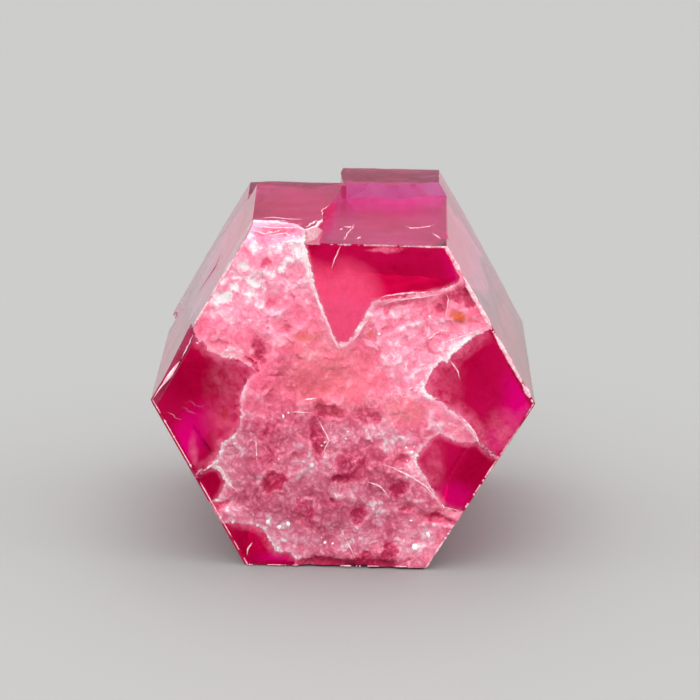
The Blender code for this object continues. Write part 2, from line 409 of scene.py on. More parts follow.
# Each row is a patch: x, z, half width, half height, turn, strength and, where it isn't 0.5, softness.
PATCH_ROWS: dict[Tone, tuple[tuple[float, ...], ...]] = {
    # Where the milk reaches far back under the top face
    Tone.THICK: (
        (-1.20, 2.50, 0.70, 0.70, 0, 1.0),
    ),
    # Where the milk is denser; the first, large patch in the upper left is partly painted light, whiter
    # where light comes in through the top face
    Tone.MILKY: (
        (-1.35, 1.90, 0.90, 0.85, 50, 0.75, 0.7), (-0.75, 1.30, 0.50, 0.80, 10, 0.45, 0.8),
        (-0.75, 2.20, 0.30, 0.45, 0, 0.8, 0.8), (1.10, 0.90, 1.20, 0.75, 15, 0.62, 0.7),
        (0.70, 0.05, 0.90, 0.60, -20, 0.40, 0.8), (-1.85, -0.95, 0.30, 0.60, 0, 0.65),
        (-0.50, -1.02, 0.45, 0.28, 0, 0.45), (-1.75, -1.80, 0.40, 0.16, -10, 0.8),
        (-0.85, -2.20, 0.62, 0.26, -20, 0.75), (0.20, -2.20, 0.45, 0.28, 0, 0.65, 0.6),
        (1.10, -0.95, 0.28, 0.35, 0, 0.40, 0.6), (0.95, -1.70, 0.40, 0.28, -30, 0.40, 0.6),
        (0.55, -1.75, 0.20, 0.30, 0, 0.55), (1.25, -2.20, 0.40, 0.40, 0, 0.70),
        (0.60, -0.55, 0.45, 0.25, 0, 0.60, 0.4), (0.25, 0.50, 0.50, 0.30, 0, 0.60, 0.7),
        (1.10, -0.55, 0.30, 0.30, 0, 0.45, 0.6), (1.55, -0.25, 0.40, 0.22, -35, 0.75),
        (0.10, -1.45, 0.28, 0.20, 0, 0.50),
    ),
    # White blobs and the creamy rim above the left window, and painted highlights: the white spots round the
    # glints low down
    Tone.PALE: (
        (-1.45, 2.43, 0.07, 0.07, 0, 0.8, 0.8), (-1.60, 2.12, 0.07, 0.06, 0, 0.9, 0.8),
        (-0.95, 2.18, 0.16, 0.06, 60, 0.75, 0.8), (-1.20, 2.44, 0.30, 0.10, 0, 0.5, 0.8),
        (-1.91, 1.89, 0.08, 0.07, 0, 0.7, 0.8), (-1.97, 1.58, 0.20, 0.10, 30, 0.85, 0.6),
        (-1.72, 1.78, 0.07, 0.07, 0, 0.9, 0.8), (-1.44, 1.84, 0.10, 0.05, -30, 0.85, 0.8),
        (-1.47, 1.66, 0.14, 0.04, 0, 0.6, 0.8), (-2.05, 1.34, 0.14, 0.07, -20, 0.75, 0.6),
        (-1.17, 2.01, 0.08, 0.05, 0, 0.7, 0.8), (-0.73, 2.36, 0.18, 0.20, 0, 0.5, 0.8),
        (-0.60, 2.00, 0.09, 0.35, 15, 0.5, 0.8), (-1.86, 0.76, 0.34, 0.10, -8, 0.7),
        (0.86, 1.45, 0.18, 0.12, -8, 0.7, 0.12), (0.20, 1.22, 0.09, 0.14, -30, 0.5),
        (1.79, 1.03, 0.38, 0.11, 20, 0.2), (-1.60, -0.60, 0.10, 0.10, 0, 0.3),
        (-1.75, -1.70, 0.20, 0.07, -30, 0.4), (-0.88, -2.01, 0.10, 0.10, 0, 0.6),
        (-1.13, -1.95, 0.05, 0.10, 10, 0.9), (0.49, -1.68, 0.11, 0.10, 0, 0.4),
        (1.35, -2.08, 0.09, 0.07, 0, 0.6), (1.23, -2.33, 0.13, 0.07, 30, 0.6),
    ),
    # Hollows and clearer spots, through which the deep red shows
    Tone.HOLLOW: (
        (-1.26, 2.18, 0.10, 0.07, 0, 0.45), (-1.34, 0.80, 0.11, 0.26, 14, 0.6, 0.3),
        (-0.67, 0.29, 0.31, 0.17, 0, 0.3), (-1.09, 0.37, 0.12, 0.03, 0, 0.5),
        # The first patch on the next line is painted shade: the dark crevice at the right end of the rim
        # above the left window
        (-1.42, 0.56, 0.15, 0.03, -50, 1.6, 0.3), (-1.14, 1.52, 0.16, 0.09, 60, 0.45, 0.3),
        (-0.92, 1.22, 0.10, 0.16, 0, 0.35, 0.4), (0.61, 1.48, 0.14, 0.10, 0, 0.4),
        (1.50, 1.55, 0.12, 0.08, 0, 0.4), (1.72, 1.74, 0.30, 0.14, 20, 0.55, 0.6),
        (-1.10, 2.62, 0.40, 0.05, 3, 0.4, 0.6), (1.93, 1.67, 0.10, 0.15, -20, 1.0, 0.3),
        (0.36, 0.72, 0.30, 0.14, 0, 0.3, 0.6), (-0.22, -0.17, 0.26, 0.10, 0, 0.85, 0.3),
        (-0.40, -0.60, 0.12, 0.32, 10, 0.7), (0.36, -0.22, 0.26, 0.13, -15, 0.4, 0.2),
        (0.10, -0.95, 0.20, 0.22, 0, 0.4, 0.6), (0.97, -0.88, 0.10, 0.06, 0, 0.9),
        (-1.18, -0.75, 0.18, 0.46, 0, 0.30), (-1.11, -1.32, 0.18, 0.14, 30, 1.4, 0.4),
        (0.05, -1.24, 0.20, 0.08, 20, 0.9), (0.30, -1.10, 0.12, 0.25, 0, 0.4),
        (-0.16, -1.57, 0.12, 0.04, -50, 0.9), (-1.94, -1.73, 0.20, 0.05, 15, 0.9, 0.3),
        (-0.57, -1.81, 0.14, 0.32, 25, 0.40), (0.27, -1.80, 0.09, 0.20, -20, 0.45),
        (0.92, -1.38, 0.16, 0.10, 30, 0.6), (1.04, -1.69, 0.14, 0.06, 0, 0.8),
        (1.60, -1.87, 0.30, 0.06, -10, 1.0), (0.80, -2.39, 0.16, 0.10, 30, 0.7),
        (0.43, -2.48, 0.12, 0.10, 0, 0.6), (-0.24, -2.66, 0.62, 0.12, 0, 1.0, 0.3),
        (0.55, -2.62, 0.34, 0.10, 0, 0.9, 0.3),
    ),
    # Salmon pink, mostly in the middle
    Tone.WARM: (
        (-1.86, 0.74, 0.40, 0.14, -8, 0.5), (-0.40, 0.85, 0.60, 0.35, 0, 0.6, 0.8),
        (-0.22, 0.35, 0.78, 0.50, 0, 0.8, 0.8), (0.92, -0.11, 0.35, 0.22, 0, 0.8),
        (0.32, 0.76, 0.39, 0.16, 0, 0.1),
    ),
    # The duller lower part: partly a duller tone of the milk, partly painted shade where less light from
    # above reaches it
    Tone.DUSTY_AND_SHADED: (
        (-0.40, -1.70, 2.10, 1.10, 0, 0.85, 0.7), (-1.60, -0.90, 0.44, 0.75, 0, 0.8, 0.7),
        (-0.20, -0.55, 1.60, 0.45, 0, 0.6, 0.7), (-0.55, 0.45, 0.50, 0.32, 0, 0.5, 0.8),
    ),
    # Rust stains
    Tone.RUST: (
        (1.74, 1.40, 0.15, 0.09, -25, 1.0, 0.4), (1.97, 1.36, 0.08, 0.06, 0, 0.5),
        (0.39, 1.08, 0.06, 0.05, 0, 0.7), (-0.64, 1.01, 0.25, 0.08, 5, 0.45),
        (-1.86, -0.24, 0.06, 0.07, 0, 0.6),
    ),
    # Painted light: brighter magenta zones in the windows, where light takes a shorter path through the red
    # beryl
    Tone.GLOW: (
        (2.75, 0.05, 0.22, 0.62, -4, 0.75, 0.8), (2.40, -0.55, 0.16, 0.20, 0, 0.5, 0.8),
        (-2.50, -0.75, 0.22, 0.55, -30, 0.7, 0.8), (1.72, 2.20, 0.14, 0.30, 25, 0.6, 0.8),
        (1.75, -1.50, 0.32, 0.18, 0, 0.4, 0.8), (-0.95, -2.60, 0.30, 0.12, 0, 0.6, 0.8),
    ),
    # Painted shade: darker crimson zones in the windows, where less light comes through the crystal
    Tone.PAINTED_SHADE: (
        (-2.15, 0.30, 0.60, 0.42, -10, 0.8, 0.9), (-2.05, -1.38, 0.30, 0.30, 0, 0.6, 0.9),
        (0.90, 2.05, 0.60, 0.22, 10, 0.35, 0.9), (1.20, 1.86, 0.50, 0.12, 12, 0.45, 0.7),
        (1.95, 0.70, 0.40, 0.50, 20, 0.35, 0.9), (2.10, -1.05, 0.28, 0.35, -35, 0.65, 0.9),
        (-1.45, -2.35, 0.40, 0.32, 30, 0.55, 0.9),
    ),
    # Haze in the windows
    Tone.HAZE: (
        (0.60, 2.44, 0.24, 0.04, 3, 0.8, 0.6), (-1.72, 0.25, 0.30, 0.50, 0, 0.25, 0.9),
        (-1.80, -0.35, 0.28, 0.30, 0, 0.25, 0.9), (-2.34, -0.85, 0.06, 0.22, 0, 0.35, 0.8),
        (1.50, 0.35, 0.25, 0.40, 0, 0.25, 0.9), (2.52, -0.40, 0.20, 0.25, 20, 0.40, 0.9),
        (1.45, -1.00, 0.12, 0.40, 0, 0.30, 0.9),
    ),
}
PATCHES = {tone: [Patch(*row) for row in rows] for tone, rows in PATCH_ROWS.items()}


def tone_amount(tone: Tone, places: np.ndarray) -> np.ndarray:
    """How strongly a tone's patches show at each place.

    Args:
        tone: the tone.
        places: one (x, z) a row.

    Returns:
        A number from 0 to 1 for each place.
    """
    size, reach = 0.16, 0.05
    aside = [
        (lumps(x, Layer.PATCHES_ASIDE, z, size), lumps(x, Layer.PATCHES_UP, z, size)) for x, z in places
    ]
    moved = places + reach * np.array(aside)
    return np.max([patch.amount(moved) for patch in PATCHES[tone]], axis=0)


# ---- Mesh helpers ----


def place_corner(corner: Vector, cell: float, unevenness: float) -> Vector:
    """Moves a corner of a grid a little aside, or onto the line of a window that passes close to it.

    Args:
        corner: the corner, with its place along the crystal ignored.
        cell: the size of the grid's cells.
        unevenness: how far a corner may move, as a share of a cell.

    Returns:
        The corner's new place.
    """
    aside = noise.cell_vector(corner / cell * Layer.CORNER_SPREAD) - Vector((0.5, 0.5, 0.5))
    place = Vector((corner.x + aside.x * 2 * unevenness * cell, corner.z + aside.z * 2 * unevenness * cell))
    nearest = min(
        (nearest_on(place, window.outline) for window in WINDOWS.values() if near(place, window, cell)),
        key=lambda candidate: (candidate - place).length,
        default=None,
    )
    if nearest is not None and (nearest - place).length < cell / 2:
        place = nearest
    return Vector((place.x, 0.0, place.y))


def near(place: Vector, window: Window, margin: float) -> bool:
    """Whether a place is inside the box of a window's outline, grown by a margin."""
    across = [corner[0] for corner in window.outline]
    upright = [corner[1] for corner in window.outline]
    return (
        min(across) - margin < place.x < max(across) + margin
        and min(upright) - margin < place.y < max(upright) + margin
    )


def front_grid(cell: float, half_width: float, unevenness: float) -> BMesh:
    """An upright grid of triangles that faces the front, with uneven cells that follow the windows.

    Args:
        cell: the size of a cell.
        half_width: half the grid's width and height.
        unevenness: how far a corner may move, as a share of a cell.

    Returns:
        The grid, at the front face.
    """
    bm = bmesh.new()
    count = round(2 * half_width / cell)
    bmesh.ops.create_grid(bm, x_segments=count, y_segments=count, size=half_width)
    bmesh.ops.rotate(bm, verts=bm.verts, matrix=Matrix.Rotation(math.radians(90), 3, "X"))
    bmesh.ops.translate(bm, verts=bm.verts, vec=Prism.GRID_SHIFT)
    for vert in bm.verts:
        if not vert.is_boundary:
            vert.co = place_corner(vert.co, cell, unevenness)
    bmesh.ops.triangulate(bm, faces=bm.faces)
    return bm


def draw_out(bm: BMesh) -> tuple[list[bmesh.types.BMVert], list[bmesh.types.BMVert]]:
    """Closes a sheet into a solid by extruding it.

    Args:
        bm: the sheet.

    Returns:
        The vertices of the sheet and those of its copy, in the same order and both still in one place.
    """
    front = list(bm.verts)
    drawn = bmesh.ops.extrude_face_region(bm, geom=list(bm.faces), use_keep_orig=True)
    back = [part for part in drawn["geom"] if isinstance(part, bmesh.types.BMVert)]
    return tuple(sorted(verts, key=lambda vert: tuple(vert.co)) for verts in (front, back))


def trim(bm: BMesh, point: Vector, normal: Vector, in_triangles: bool = False) -> None:
    """Cuts away what lies outside a plane and closes the cut.

    Args:
        bm: what is cut.
        point: a point on the plane.
        normal: the plane's outward normal.
        in_triangles: whether the cut is closed with triangles, for a winding edge, or with one flat face.
    """
    everything = list(bm.verts) + list(bm.edges) + list(bm.faces)
    cut = bmesh.ops.bisect_plane(
        bm, geom=everything, dist=1e-5, plane_co=point, plane_no=normal, clear_outer=True
    )
    edges = [part for part in cut["geom_cut"] if isinstance(part, bmesh.types.BMEdge)]
    if in_triangles:
        bmesh.ops.triangle_fill(bm, edges=edges, normal=normal, use_beauty=True)
    else:
        bmesh.ops.edgeloop_fill(bm, edges=edges)


def slab(outline: Outline, bottom: float, top: float, turn: float) -> BMesh:
    """A flat slab over an outline, lying on top of the crystal, then turned about its axis.

    Args:
        outline: the corners as (across, along).
        bottom: the height of its lower side.
        top: the height of its upper side.
        turn: how far it is turned, in degrees.

    Returns:
        The slab.
    """
    bm = bmesh.new()
    corners = [bm.verts.new((across, along, bottom)) for across, along in outline]
    floor = bm.faces.new(corners)
    raised = bmesh.ops.extrude_face_region(bm, geom=[floor], use_keep_orig=True)
    lifted = [part for part in raised["geom"] if isinstance(part, bmesh.types.BMVert)]
    bmesh.ops.translate(bm, verts=lifted, vec=(0.0, 0.0, top - bottom))
    bmesh.ops.rotate(bm, verts=bm.verts, matrix=Matrix.Rotation(math.radians(-turn), 3, "Y"))
    return bm


def joined(parts: list[BMesh]) -> BMesh:
    """Several bmeshes in one, each freed."""
    whole = bmesh.new()
    for part in parts:
        bmesh.ops.recalc_face_normals(part, faces=part.faces)
        mesh = bpy.data.meshes.new("part")
        part.to_mesh(mesh)
        part.free()
        whole.from_mesh(mesh)
        bpy.data.meshes.remove(mesh)
    return whole


def to_object(name: str, bm: BMesh) -> Piece:
    """Turns a bmesh into an object, still in millimetres, and frees the bmesh."""
    bmesh.ops.recalc_face_normals(bm, faces=bm.faces)
    mesh = bpy.data.meshes.new(name)
    bm.to_mesh(mesh)
    bm.free()
    made = bpy.data.objects.new(name, mesh)
    bpy.context.scene.collection.objects.link(made)
    return made


def carve(target: Piece, cutter: Piece, operation: str) -> None:
    """Joins or cuts one mesh with another, keeps the result and removes the cutter."""
    modifier = target.modifiers.new(cutter.name, "BOOLEAN")
    modifier.operation = operation
    modifier.solver = "EXACT"
    modifier.object = cutter
    graph = bpy.context.evaluated_depsgraph_get()
    result = bpy.data.meshes.new_from_object(target.evaluated_get(graph))
    target.modifiers.clear()
    target.data = result
    bpy.data.objects.remove(cutter)


def settle(piece: Piece, material: Material) -> None:
    """Scales a finished piece to metres, places it, dresses it and makes it ride on the crystal."""
    piece.data.transform(Matrix.Translation(front_centre()) @ Matrix.Scale(MM, 4))
    piece.data.materials.clear()
    piece.data.materials.append(material)
    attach(piece, "root")
    log.info("%s: %d faces", piece.name, len(piece.data.polygons))


def set_values(piece: Piece, name: str, domain: str, values: np.ndarray) -> None:
    """Stores one number for each point or face of a piece, for its material to read."""
    attribute = piece.data.attributes.new(name, "FLOAT", domain)
    attribute.data.foreach_set("value", values.astype(np.float32))


def vertex_places(piece: Piece) -> np.ndarray:
    """Each vertex's place, one a row."""
    places = np.zeros(len(piece.data.vertices) * 3)
    piece.data.vertices.foreach_get("co", places)
    return places.reshape(-1, 3)


# ---- Materials ----


class Nodes:
    """A material's or a group's node tree, with short ways to add and join nodes."""

    def __init__(self, tree: bpy.types.NodeTree) -> None:
        """Wraps a tree."""
        self.tree = tree

    def add(self, kind: str, **settings: object) -> bpy.types.Node:
        """Adds a node and sets its properties."""
        made = self.tree.nodes.new(kind)
        for key, value in settings.items():
            setattr(made, key, value)
        return made

    def feed(self, socket: Socket, source: object) -> None:
        """Sets a socket's value, or links a socket to it."""
        if isinstance(source, Socket):
            self.tree.links.new(source, socket)
        else:
            socket.default_value = source

    def math(self, operation: str, *sources: object, clamp: bool = False) -> Socket:
        """The result of a Math node on numbers or sockets."""
        made = self.add("ShaderNodeMath", operation=operation, use_clamp=clamp)
        for socket, source in zip(made.inputs, sources):
            self.feed(socket, source)
        return made.outputs[0]

    def mix(self, share: object, first: object, second: object) -> Socket:
        """One colour turned into another by a share."""
        made = self.add("ShaderNodeMix", data_type="RGBA")
        self.feed(made.inputs["Factor"], share)
        self.feed(made.inputs["A"], first)
        self.feed(made.inputs["B"], second)
        return made.outputs["Result"]

    def swing(self, source: object, reach: object, middle: object) -> Socket:
        """A number moved up or down by what a source between 0 and 1 differs from a half, times a reach."""
        return self.math("MULTIPLY_ADD", self.math("SUBTRACT", source, 0.5), reach, middle)

    def span(
        self, source: object, low: float, high: float, to_low: float = 0.0, to_high: float = 1.0
    ) -> Socket:
        """A number moved smoothly from one span to another, and kept inside it."""
        made = self.add("ShaderNodeMapRange", interpolation_type="SMOOTHSTEP")
        for socket, value in zip(made.inputs, (source, low, high, to_low, to_high)):
            self.feed(socket, value)
        return made.outputs[0]

    def ramp(self, source: object, stops: list[tuple[float, Colour]]) -> Socket:
        """The colour for a number on a ramp with a colour at each stop."""
        made = self.add("ShaderNodeValToRGB")
        self.feed(made.inputs[0], source)
        for _ in stops[2:]:
            made.color_ramp.elements.new(0.5)
        for element, (position, colour) in zip(made.color_ramp.elements, stops):
            element.position = position
            element.color = (*colour, 1.0)
        return made.outputs["Color"]

    def attribute(self, name: str) -> Socket:
        """A number stored on the mesh."""
        return self.add("ShaderNodeAttribute", attribute_name=name).outputs["Fac"]

    def millimetres(self) -> Socket:
        """The place on the piece in millimetres from the middle of the front face."""
        place = self.add("ShaderNodeTexCoord").outputs["Object"]
        mapping = self.add("ShaderNodeMapping")
        self.feed(mapping.inputs["Vector"], place)
        mapping.inputs["Location"].default_value = -front_centre() / MM
        mapping.inputs["Scale"].default_value = (1 / MM, 1 / MM, 1 / MM)
        return mapping.outputs["Vector"]

    def noise(self, place: object, size: float, detail: float = 2.0, roughness: float = 0.5) -> Socket:
        """Cloudy noise between 0 and 1 with blotches of about a size, in the place's own units."""
        made = self.add("ShaderNodeTexNoise")
        self.feed(made.inputs["Vector"], place)
        made.inputs["Scale"].default_value = 1 / size
        made.inputs["Detail"].default_value = detail
        made.inputs["Roughness"].default_value = roughness
        return made.outputs["Fac"]

    def seams(self, place: object, size: float, width: float) -> Socket:
        """1 on the seams between uneven cells of a size, fading to 0 over a width."""
        made = self.add("ShaderNodeTexVoronoi", feature="DISTANCE_TO_EDGE")
        self.feed(made.inputs["Vector"], place)
        made.inputs["Scale"].default_value = 1 / size
        return self.span(made.outputs["Distance"], 0.0, width / size, 1.0, 0.0)

    def bump(self, height: object, distance: float, strength: float = 1.0) -> Socket:
        """A normal bent by a height, whose full range is a distance in metres."""
        made = self.add("ShaderNodeBump")
        made.inputs["Strength"].default_value = strength
        made.inputs["Distance"].default_value = distance
        self.feed(made.inputs["Height"], height)
        return made.outputs["Normal"]


def new_material(name: str) -> tuple[Material, Nodes, bpy.types.Node]:
    """An empty material with a Principled shader.

    Args:
        name: the material's name.

    Returns:
        The material, its nodes and the shader.
    """
    material = bpy.data.materials.new(name)
    material.use_nodes = True
    nodes = Nodes(material.node_tree)
    return material, nodes, material.node_tree.nodes["Principled BSDF"]


@dataclass(frozen=True)
class ClearBeryl:
    """Clear raspberry-red beryl: glass with a red body colour and frosted broken faces."""

    index: float = 1.572
    depth_colour: Colour = (0.985, 0.10, 0.65)
    depth_density: float = 1000.0
    sheen_colour: Colour = (1.0, 0.04, 0.4)
    smoothest: float = 0.02
    frost_size: float = 0.05
    frost_height: float = 0.03

    def material(self) -> Material:
        """Builds the material."""
        material, nodes, shader = new_material("clear_beryl")
        place = nodes.millimetres()
        frost = nodes.attribute("frost")
        grain = nodes.noise(place, self.frost_size, 3.0)
        uneven = nodes.span(grain, 0.2, 0.8, 0.7, 1.2)
        roughness = nodes.math("MULTIPLY_ADD", frost, uneven, self.smoothest, clamp=True)
        nodes.feed(shader.inputs["Roughness"], roughness)
        shader.inputs["Base Color"].default_value = (1.0, 1.0, 1.0, 1.0)
        shader.inputs["Metallic"].default_value = 0.0
        shader.inputs["IOR"].default_value = self.index
        shader.inputs["Transmission Weight"].default_value = 1.0
        shader.inputs["Specular Tint"].default_value = (*self.sheen_colour, 1.0)
        height = nodes.math("MULTIPLY", grain, frost)
        nodes.feed(shader.inputs["Normal"], nodes.bump(height, self.frost_height * MM))
        volume = nodes.add("ShaderNodeVolumeAbsorption")
        volume.inputs["Color"].default_value = (*self.depth_colour, 1.0)
        volume.inputs["Density"].default_value = self.depth_density
        output = material.node_tree.nodes["Material Output"]
        nodes.feed(output.inputs["Volume"], volume.outputs["Volume"])
        return material


@dataclass(frozen=True)
class MilkyBeryl:
    """The fractured, milky zone: translucent shards from deep rose to white, with pale crests and grain."""

    # Places on the ramp from clear and deep to milky, and the colours there
    ramp: tuple[tuple[float, Colour], ...] = (
        (0.00, (0.46, 0.005, 0.065)),
        (0.22, (0.66, 0.065, 0.155)),
        (0.45, (0.90, 0.17, 0.29)),
        (0.70, (1.0, 0.38, 0.52)),
        (0.94, (1.0, 0.90, 0.91)),
    )
    salmon: Colour = (0.88, 0.19, 0.21)
    # Multiplies the colour low down: partly a duller tone, partly painted shade
    dusk: Colour = (0.62, 0.84, 0.78)
    rust: Colour = (0.72, 0.11, 0.02)
    sheen: Colour = (1.0, 0.62, 0.70)
    # The milkiness everywhere, then how much each part of the pattern adds to it
    base: float = 0.38
    added: tuple[tuple[str, float], ...] = (
        ("milky", 0.32), ("dusty", -0.03), ("rim", 0.20), ("crest", 0.20), ("filigree", 0.08))
    # Parts of the pattern that raise it where they are above a half and lower it elsewhere
    swinging: tuple[tuple[str, float], ...] = (
        ("cloud", 0.34), ("shard", 0.24), ("flake", 0.14), ("grain", 0.16))
    # Patches, with the most that each adds, and where along its ragged edge it starts and is full
    patches: tuple[tuple[str, float, float, float], ...] = (
        ("pale", 0.44, 0.0, 1.1), ("hollow", -0.37, 0.08, 0.60))
    warp_size: float = 0.25
    warp_reach: float = 0.35
    flake_size: float = 0.09
    cloud: Grain = (0.55, 4.0, 0.6)
    grain: Grain = (0.028, 2.0, 0.6)
    fibre: Grain = (0.07, 3.0, 0.65)
    filigree: Grain = (0.16, 3.0, 0.6)
    filigree_width: float = 0.06
    filigree_areas: Grain = (0.42, 2.0, 0.5)
    crest_size: float = 0.17
    crest_width: float = 0.012
    crest_areas: Grain = (0.3, 1.0, 0.5)
    # How strongly crumbs show in clean milk and in the duller milk low down, which is partly painted shade
    crumbs: tuple[float, float] = (0.08, 0.24)
    # How ragged the edges are of the pale and hollow patches, of the tinted ones and of the whole zone
    patch_fray: float = 0.7
    tint_fray: float = 0.8
    rim_fray: float = 1.7
    scatter: float = 0.5
    scatter_depth: float = 0.10
    scatter_colour: Colour = (1.0, 0.8, 0.85)
    index: float = 1.5
    # The bumps: how much is added to the grain's height, and how high and strong the whole is
    bumps: tuple[tuple[str, float], ...] = (("cloud", 0.5), ("crest", 0.5), ("crumb", 0.4))
    bump_height: float = 0.015
    bump_strength: float = 0.6

    def warped(self, nodes: Nodes, place: Socket) -> Socket:
        """A place moved about by noise, so that edges drawn with it are crinkled."""
        wobble = nodes.add("ShaderNodeTexNoise")
        nodes.feed(wobble.inputs["Vector"], place)
        wobble.inputs["Scale"].default_value = 1 / self.warp_size
        wobble.inputs["Detail"].default_value = 4.0
        warp = nodes.add("ShaderNodeVectorMath", operation="MULTIPLY_ADD")
        nodes.feed(warp.inputs[0], wobble.outputs["Color"])
        warp.inputs[1].default_value = (self.warp_reach,) * 3
        nodes.feed(warp.inputs[2], place)
        return warp.outputs[0]

    def pattern(self, nodes: Nodes) -> dict[str, Socket]:
        """The parts of the pattern: noises and cells of several sizes, and what the mesh stores."""
        place = nodes.millimetres()
        warped = self.warped(nodes, place)
        cells = nodes.add("ShaderNodeTexVoronoi", feature="F1")
        nodes.feed(cells.inputs["Vector"], warped)
        cells.inputs["Scale"].default_value = 1 / self.flake_size
        flake = nodes.add("ShaderNodeSeparateColor")
        nodes.feed(flake.inputs[0], cells.outputs["Color"])
        patches = nodes.span(nodes.noise(warped, *self.crest_areas), 0.45, 0.62)
        crest = nodes.math("MULTIPLY", nodes.seams(warped, self.crest_size, self.crest_width), patches)
        ridged = nodes.math("ABSOLUTE", nodes.math("SUBTRACT", nodes.noise(warped, *self.filigree), 0.5))
        lines = nodes.span(ridged, 0.0, self.filigree_width, 1.0, 0.0)
        frayed = nodes.span(nodes.noise(warped, *self.filigree_areas), 0.46, 0.60)
        stored = ("milky", "dusty", "shard", "pale", "hollow", "warm", "rust", "margin")
        parts = {name: nodes.attribute(name) for name in stored}
        parts["filigree"] = nodes.math("MULTIPLY", lines, frayed)
        parts["cloud"] = nodes.noise(warped, *self.cloud)
        parts["grain"] = nodes.noise(place, *self.grain)
        parts["fibre"] = nodes.noise(warped, *self.fibre)
        parts["flake"] = flake.outputs[0]
        parts["crumb"] = nodes.span(cells.outputs["Distance"], 0.15, 0.65, 1.0, 0.0)
        seam = nodes.math("MULTIPLY", nodes.attribute("seam"), patches)
        parts["crest"] = nodes.math("MAXIMUM", crest, seam)
        parts["rim"] = nodes.span(parts["margin"], 0.0, 1.5, 1.0, 0.0)
        return parts

    def milkiness(self, nodes: Nodes, parts: dict[str, Socket]) -> Socket:
        """How milky the surface is, from 0 in the clear hollows to 1 on the white lumps."""
        milky = self.base
        for name, most in self.added:
            milky = nodes.math("MULTIPLY_ADD", parts[name], most, milky)
        crumbly = nodes.span(parts["dusty"], 0.0, 0.8, *self.crumbs)
        milky = nodes.swing(parts["crumb"], crumbly, milky)
        for name, most, low, full in self.patches:
            ragged = nodes.swing(parts["fibre"], self.patch_fray, parts[name])
            share = nodes.math("MULTIPLY", ragged, nodes.span(parts[name], 0.0, 0.3))
            milky = nodes.math("ADD", milky, nodes.span(share, low, full, 0.0, most))
        for name, reach in self.swinging:
            milky = nodes.swing(parts[name], reach, milky)
        return milky

    def colour(self, nodes: Nodes, parts: dict[str, Socket]) -> Socket:
        """The colour: the ramp for the milkiness, dulled low down, partly as painted shade, with salmon and
        rust patches.
        """
        colour = nodes.ramp(self.milkiness(nodes, parts), self.ramp)
        solid = nodes.math("MULTIPLY_ADD", parts["hollow"], -1.0, 1.0)
        dull = nodes.math("MULTIPLY", parts["dusty"], solid)
        dulling = nodes.mix(dull, (1.0, 1.0, 1.0, 1.0), (*self.dusk, 1.0))
        colour = nodes.mix(1.0, colour, dulling)
        colour.node.blend_type = "MULTIPLY"
        for name, other, most in (("warm", self.salmon, 0.5), ("rust", self.rust, 0.95)):
            ragged = nodes.swing(parts["fibre"], self.tint_fray, parts[name])
            inside = nodes.span(parts[name], 0.0, 0.15)
            share = nodes.math("MULTIPLY", nodes.span(ragged, 0.05, 0.9, 0.0, most), inside)
            colour = nodes.mix(share, colour, (*other, 1.0))
        return colour

    def material(self) -> Material:
        """Builds the material."""
        material, nodes, shader = new_material("milky_beryl")
        parts = self.pattern(nodes)
        nodes.feed(shader.inputs["Base Color"], self.colour(nodes, parts))
        rim = nodes.swing(parts["fibre"], self.rim_fray, parts["margin"])
        nodes.feed(shader.inputs["Alpha"], nodes.span(rim, -0.25, 0.05))
        nodes.feed(shader.inputs["Roughness"], nodes.span(parts["grain"], 0.3, 0.7, 0.25, 0.6))
        shader.inputs["Subsurface Weight"].default_value = self.scatter
        shader.inputs["Subsurface Radius"].default_value = self.scatter_colour
        shader.inputs["Subsurface Scale"].default_value = self.scatter_depth * MM
        shader.inputs["IOR"].default_value = self.index
        shader.inputs["Specular Tint"].default_value = (*self.sheen, 1.0)
        height = parts["grain"]
        for name, share in self.bumps:
            height = nodes.math("MULTIPLY_ADD", parts[name], share, height)
        bump = nodes.bump(height, self.bump_height * MM, self.bump_strength)
        nodes.feed(shader.inputs["Normal"], bump)
        return material


@dataclass(frozen=True)
class VeilBeryl:
    """A thin soft-edged film on a window or the bevel: haze, a cloud, a stain, painted light or painted
    shade.
    """

    name: str
    colour: Colour
    wispiness: float
    size: float = 0.35

    def material(self) -> Material:
        """Builds the material."""
        material, nodes, shader = new_material(self.name)
        place = nodes.millimetres()
        cloud = nodes.noise(place, self.size, 4.0, 0.65)
        fibre = nodes.noise(place, 0.3 * self.size, 4.0, 0.6)
        wisp = nodes.swing(fibre, 0.5, cloud)
        wisp = nodes.span(wisp, 0.25, 0.75, 1.0 - self.wispiness, 1.0 + self.wispiness)
        alpha = nodes.math("MULTIPLY", nodes.attribute("cover"), wisp, clamp=True)
        nodes.feed(shader.inputs["Alpha"], alpha)
        shader.inputs["Base Color"].default_value = (*self.colour, 1.0)
        shader.inputs["Roughness"].default_value = 0.6
        shader.inputs["Specular IOR Level"].default_value = 0.0
        return material


@dataclass(frozen=True)
class CloudBeryl:
    """The cloudy inside, far back in the crystal: pale and soft, coloured by the clear beryl round it."""

    pale: Colour = (0.98, 0.80, 0.86)
    dim: Colour = (0.85, 0.45, 0.58)

    def material(self) -> Material:
        """Builds the material."""
        material, nodes, shader = new_material("cloud_beryl")
        cloud = nodes.noise(nodes.millimetres(), 0.9, 3.0)
        colour = nodes.mix(nodes.span(cloud, 0.3, 0.7), (*self.dim, 1.0), (*self.pale, 1.0))
        nodes.feed(shader.inputs["Base Color"], colour)
        shader.inputs["Roughness"].default_value = 0.8
        return material


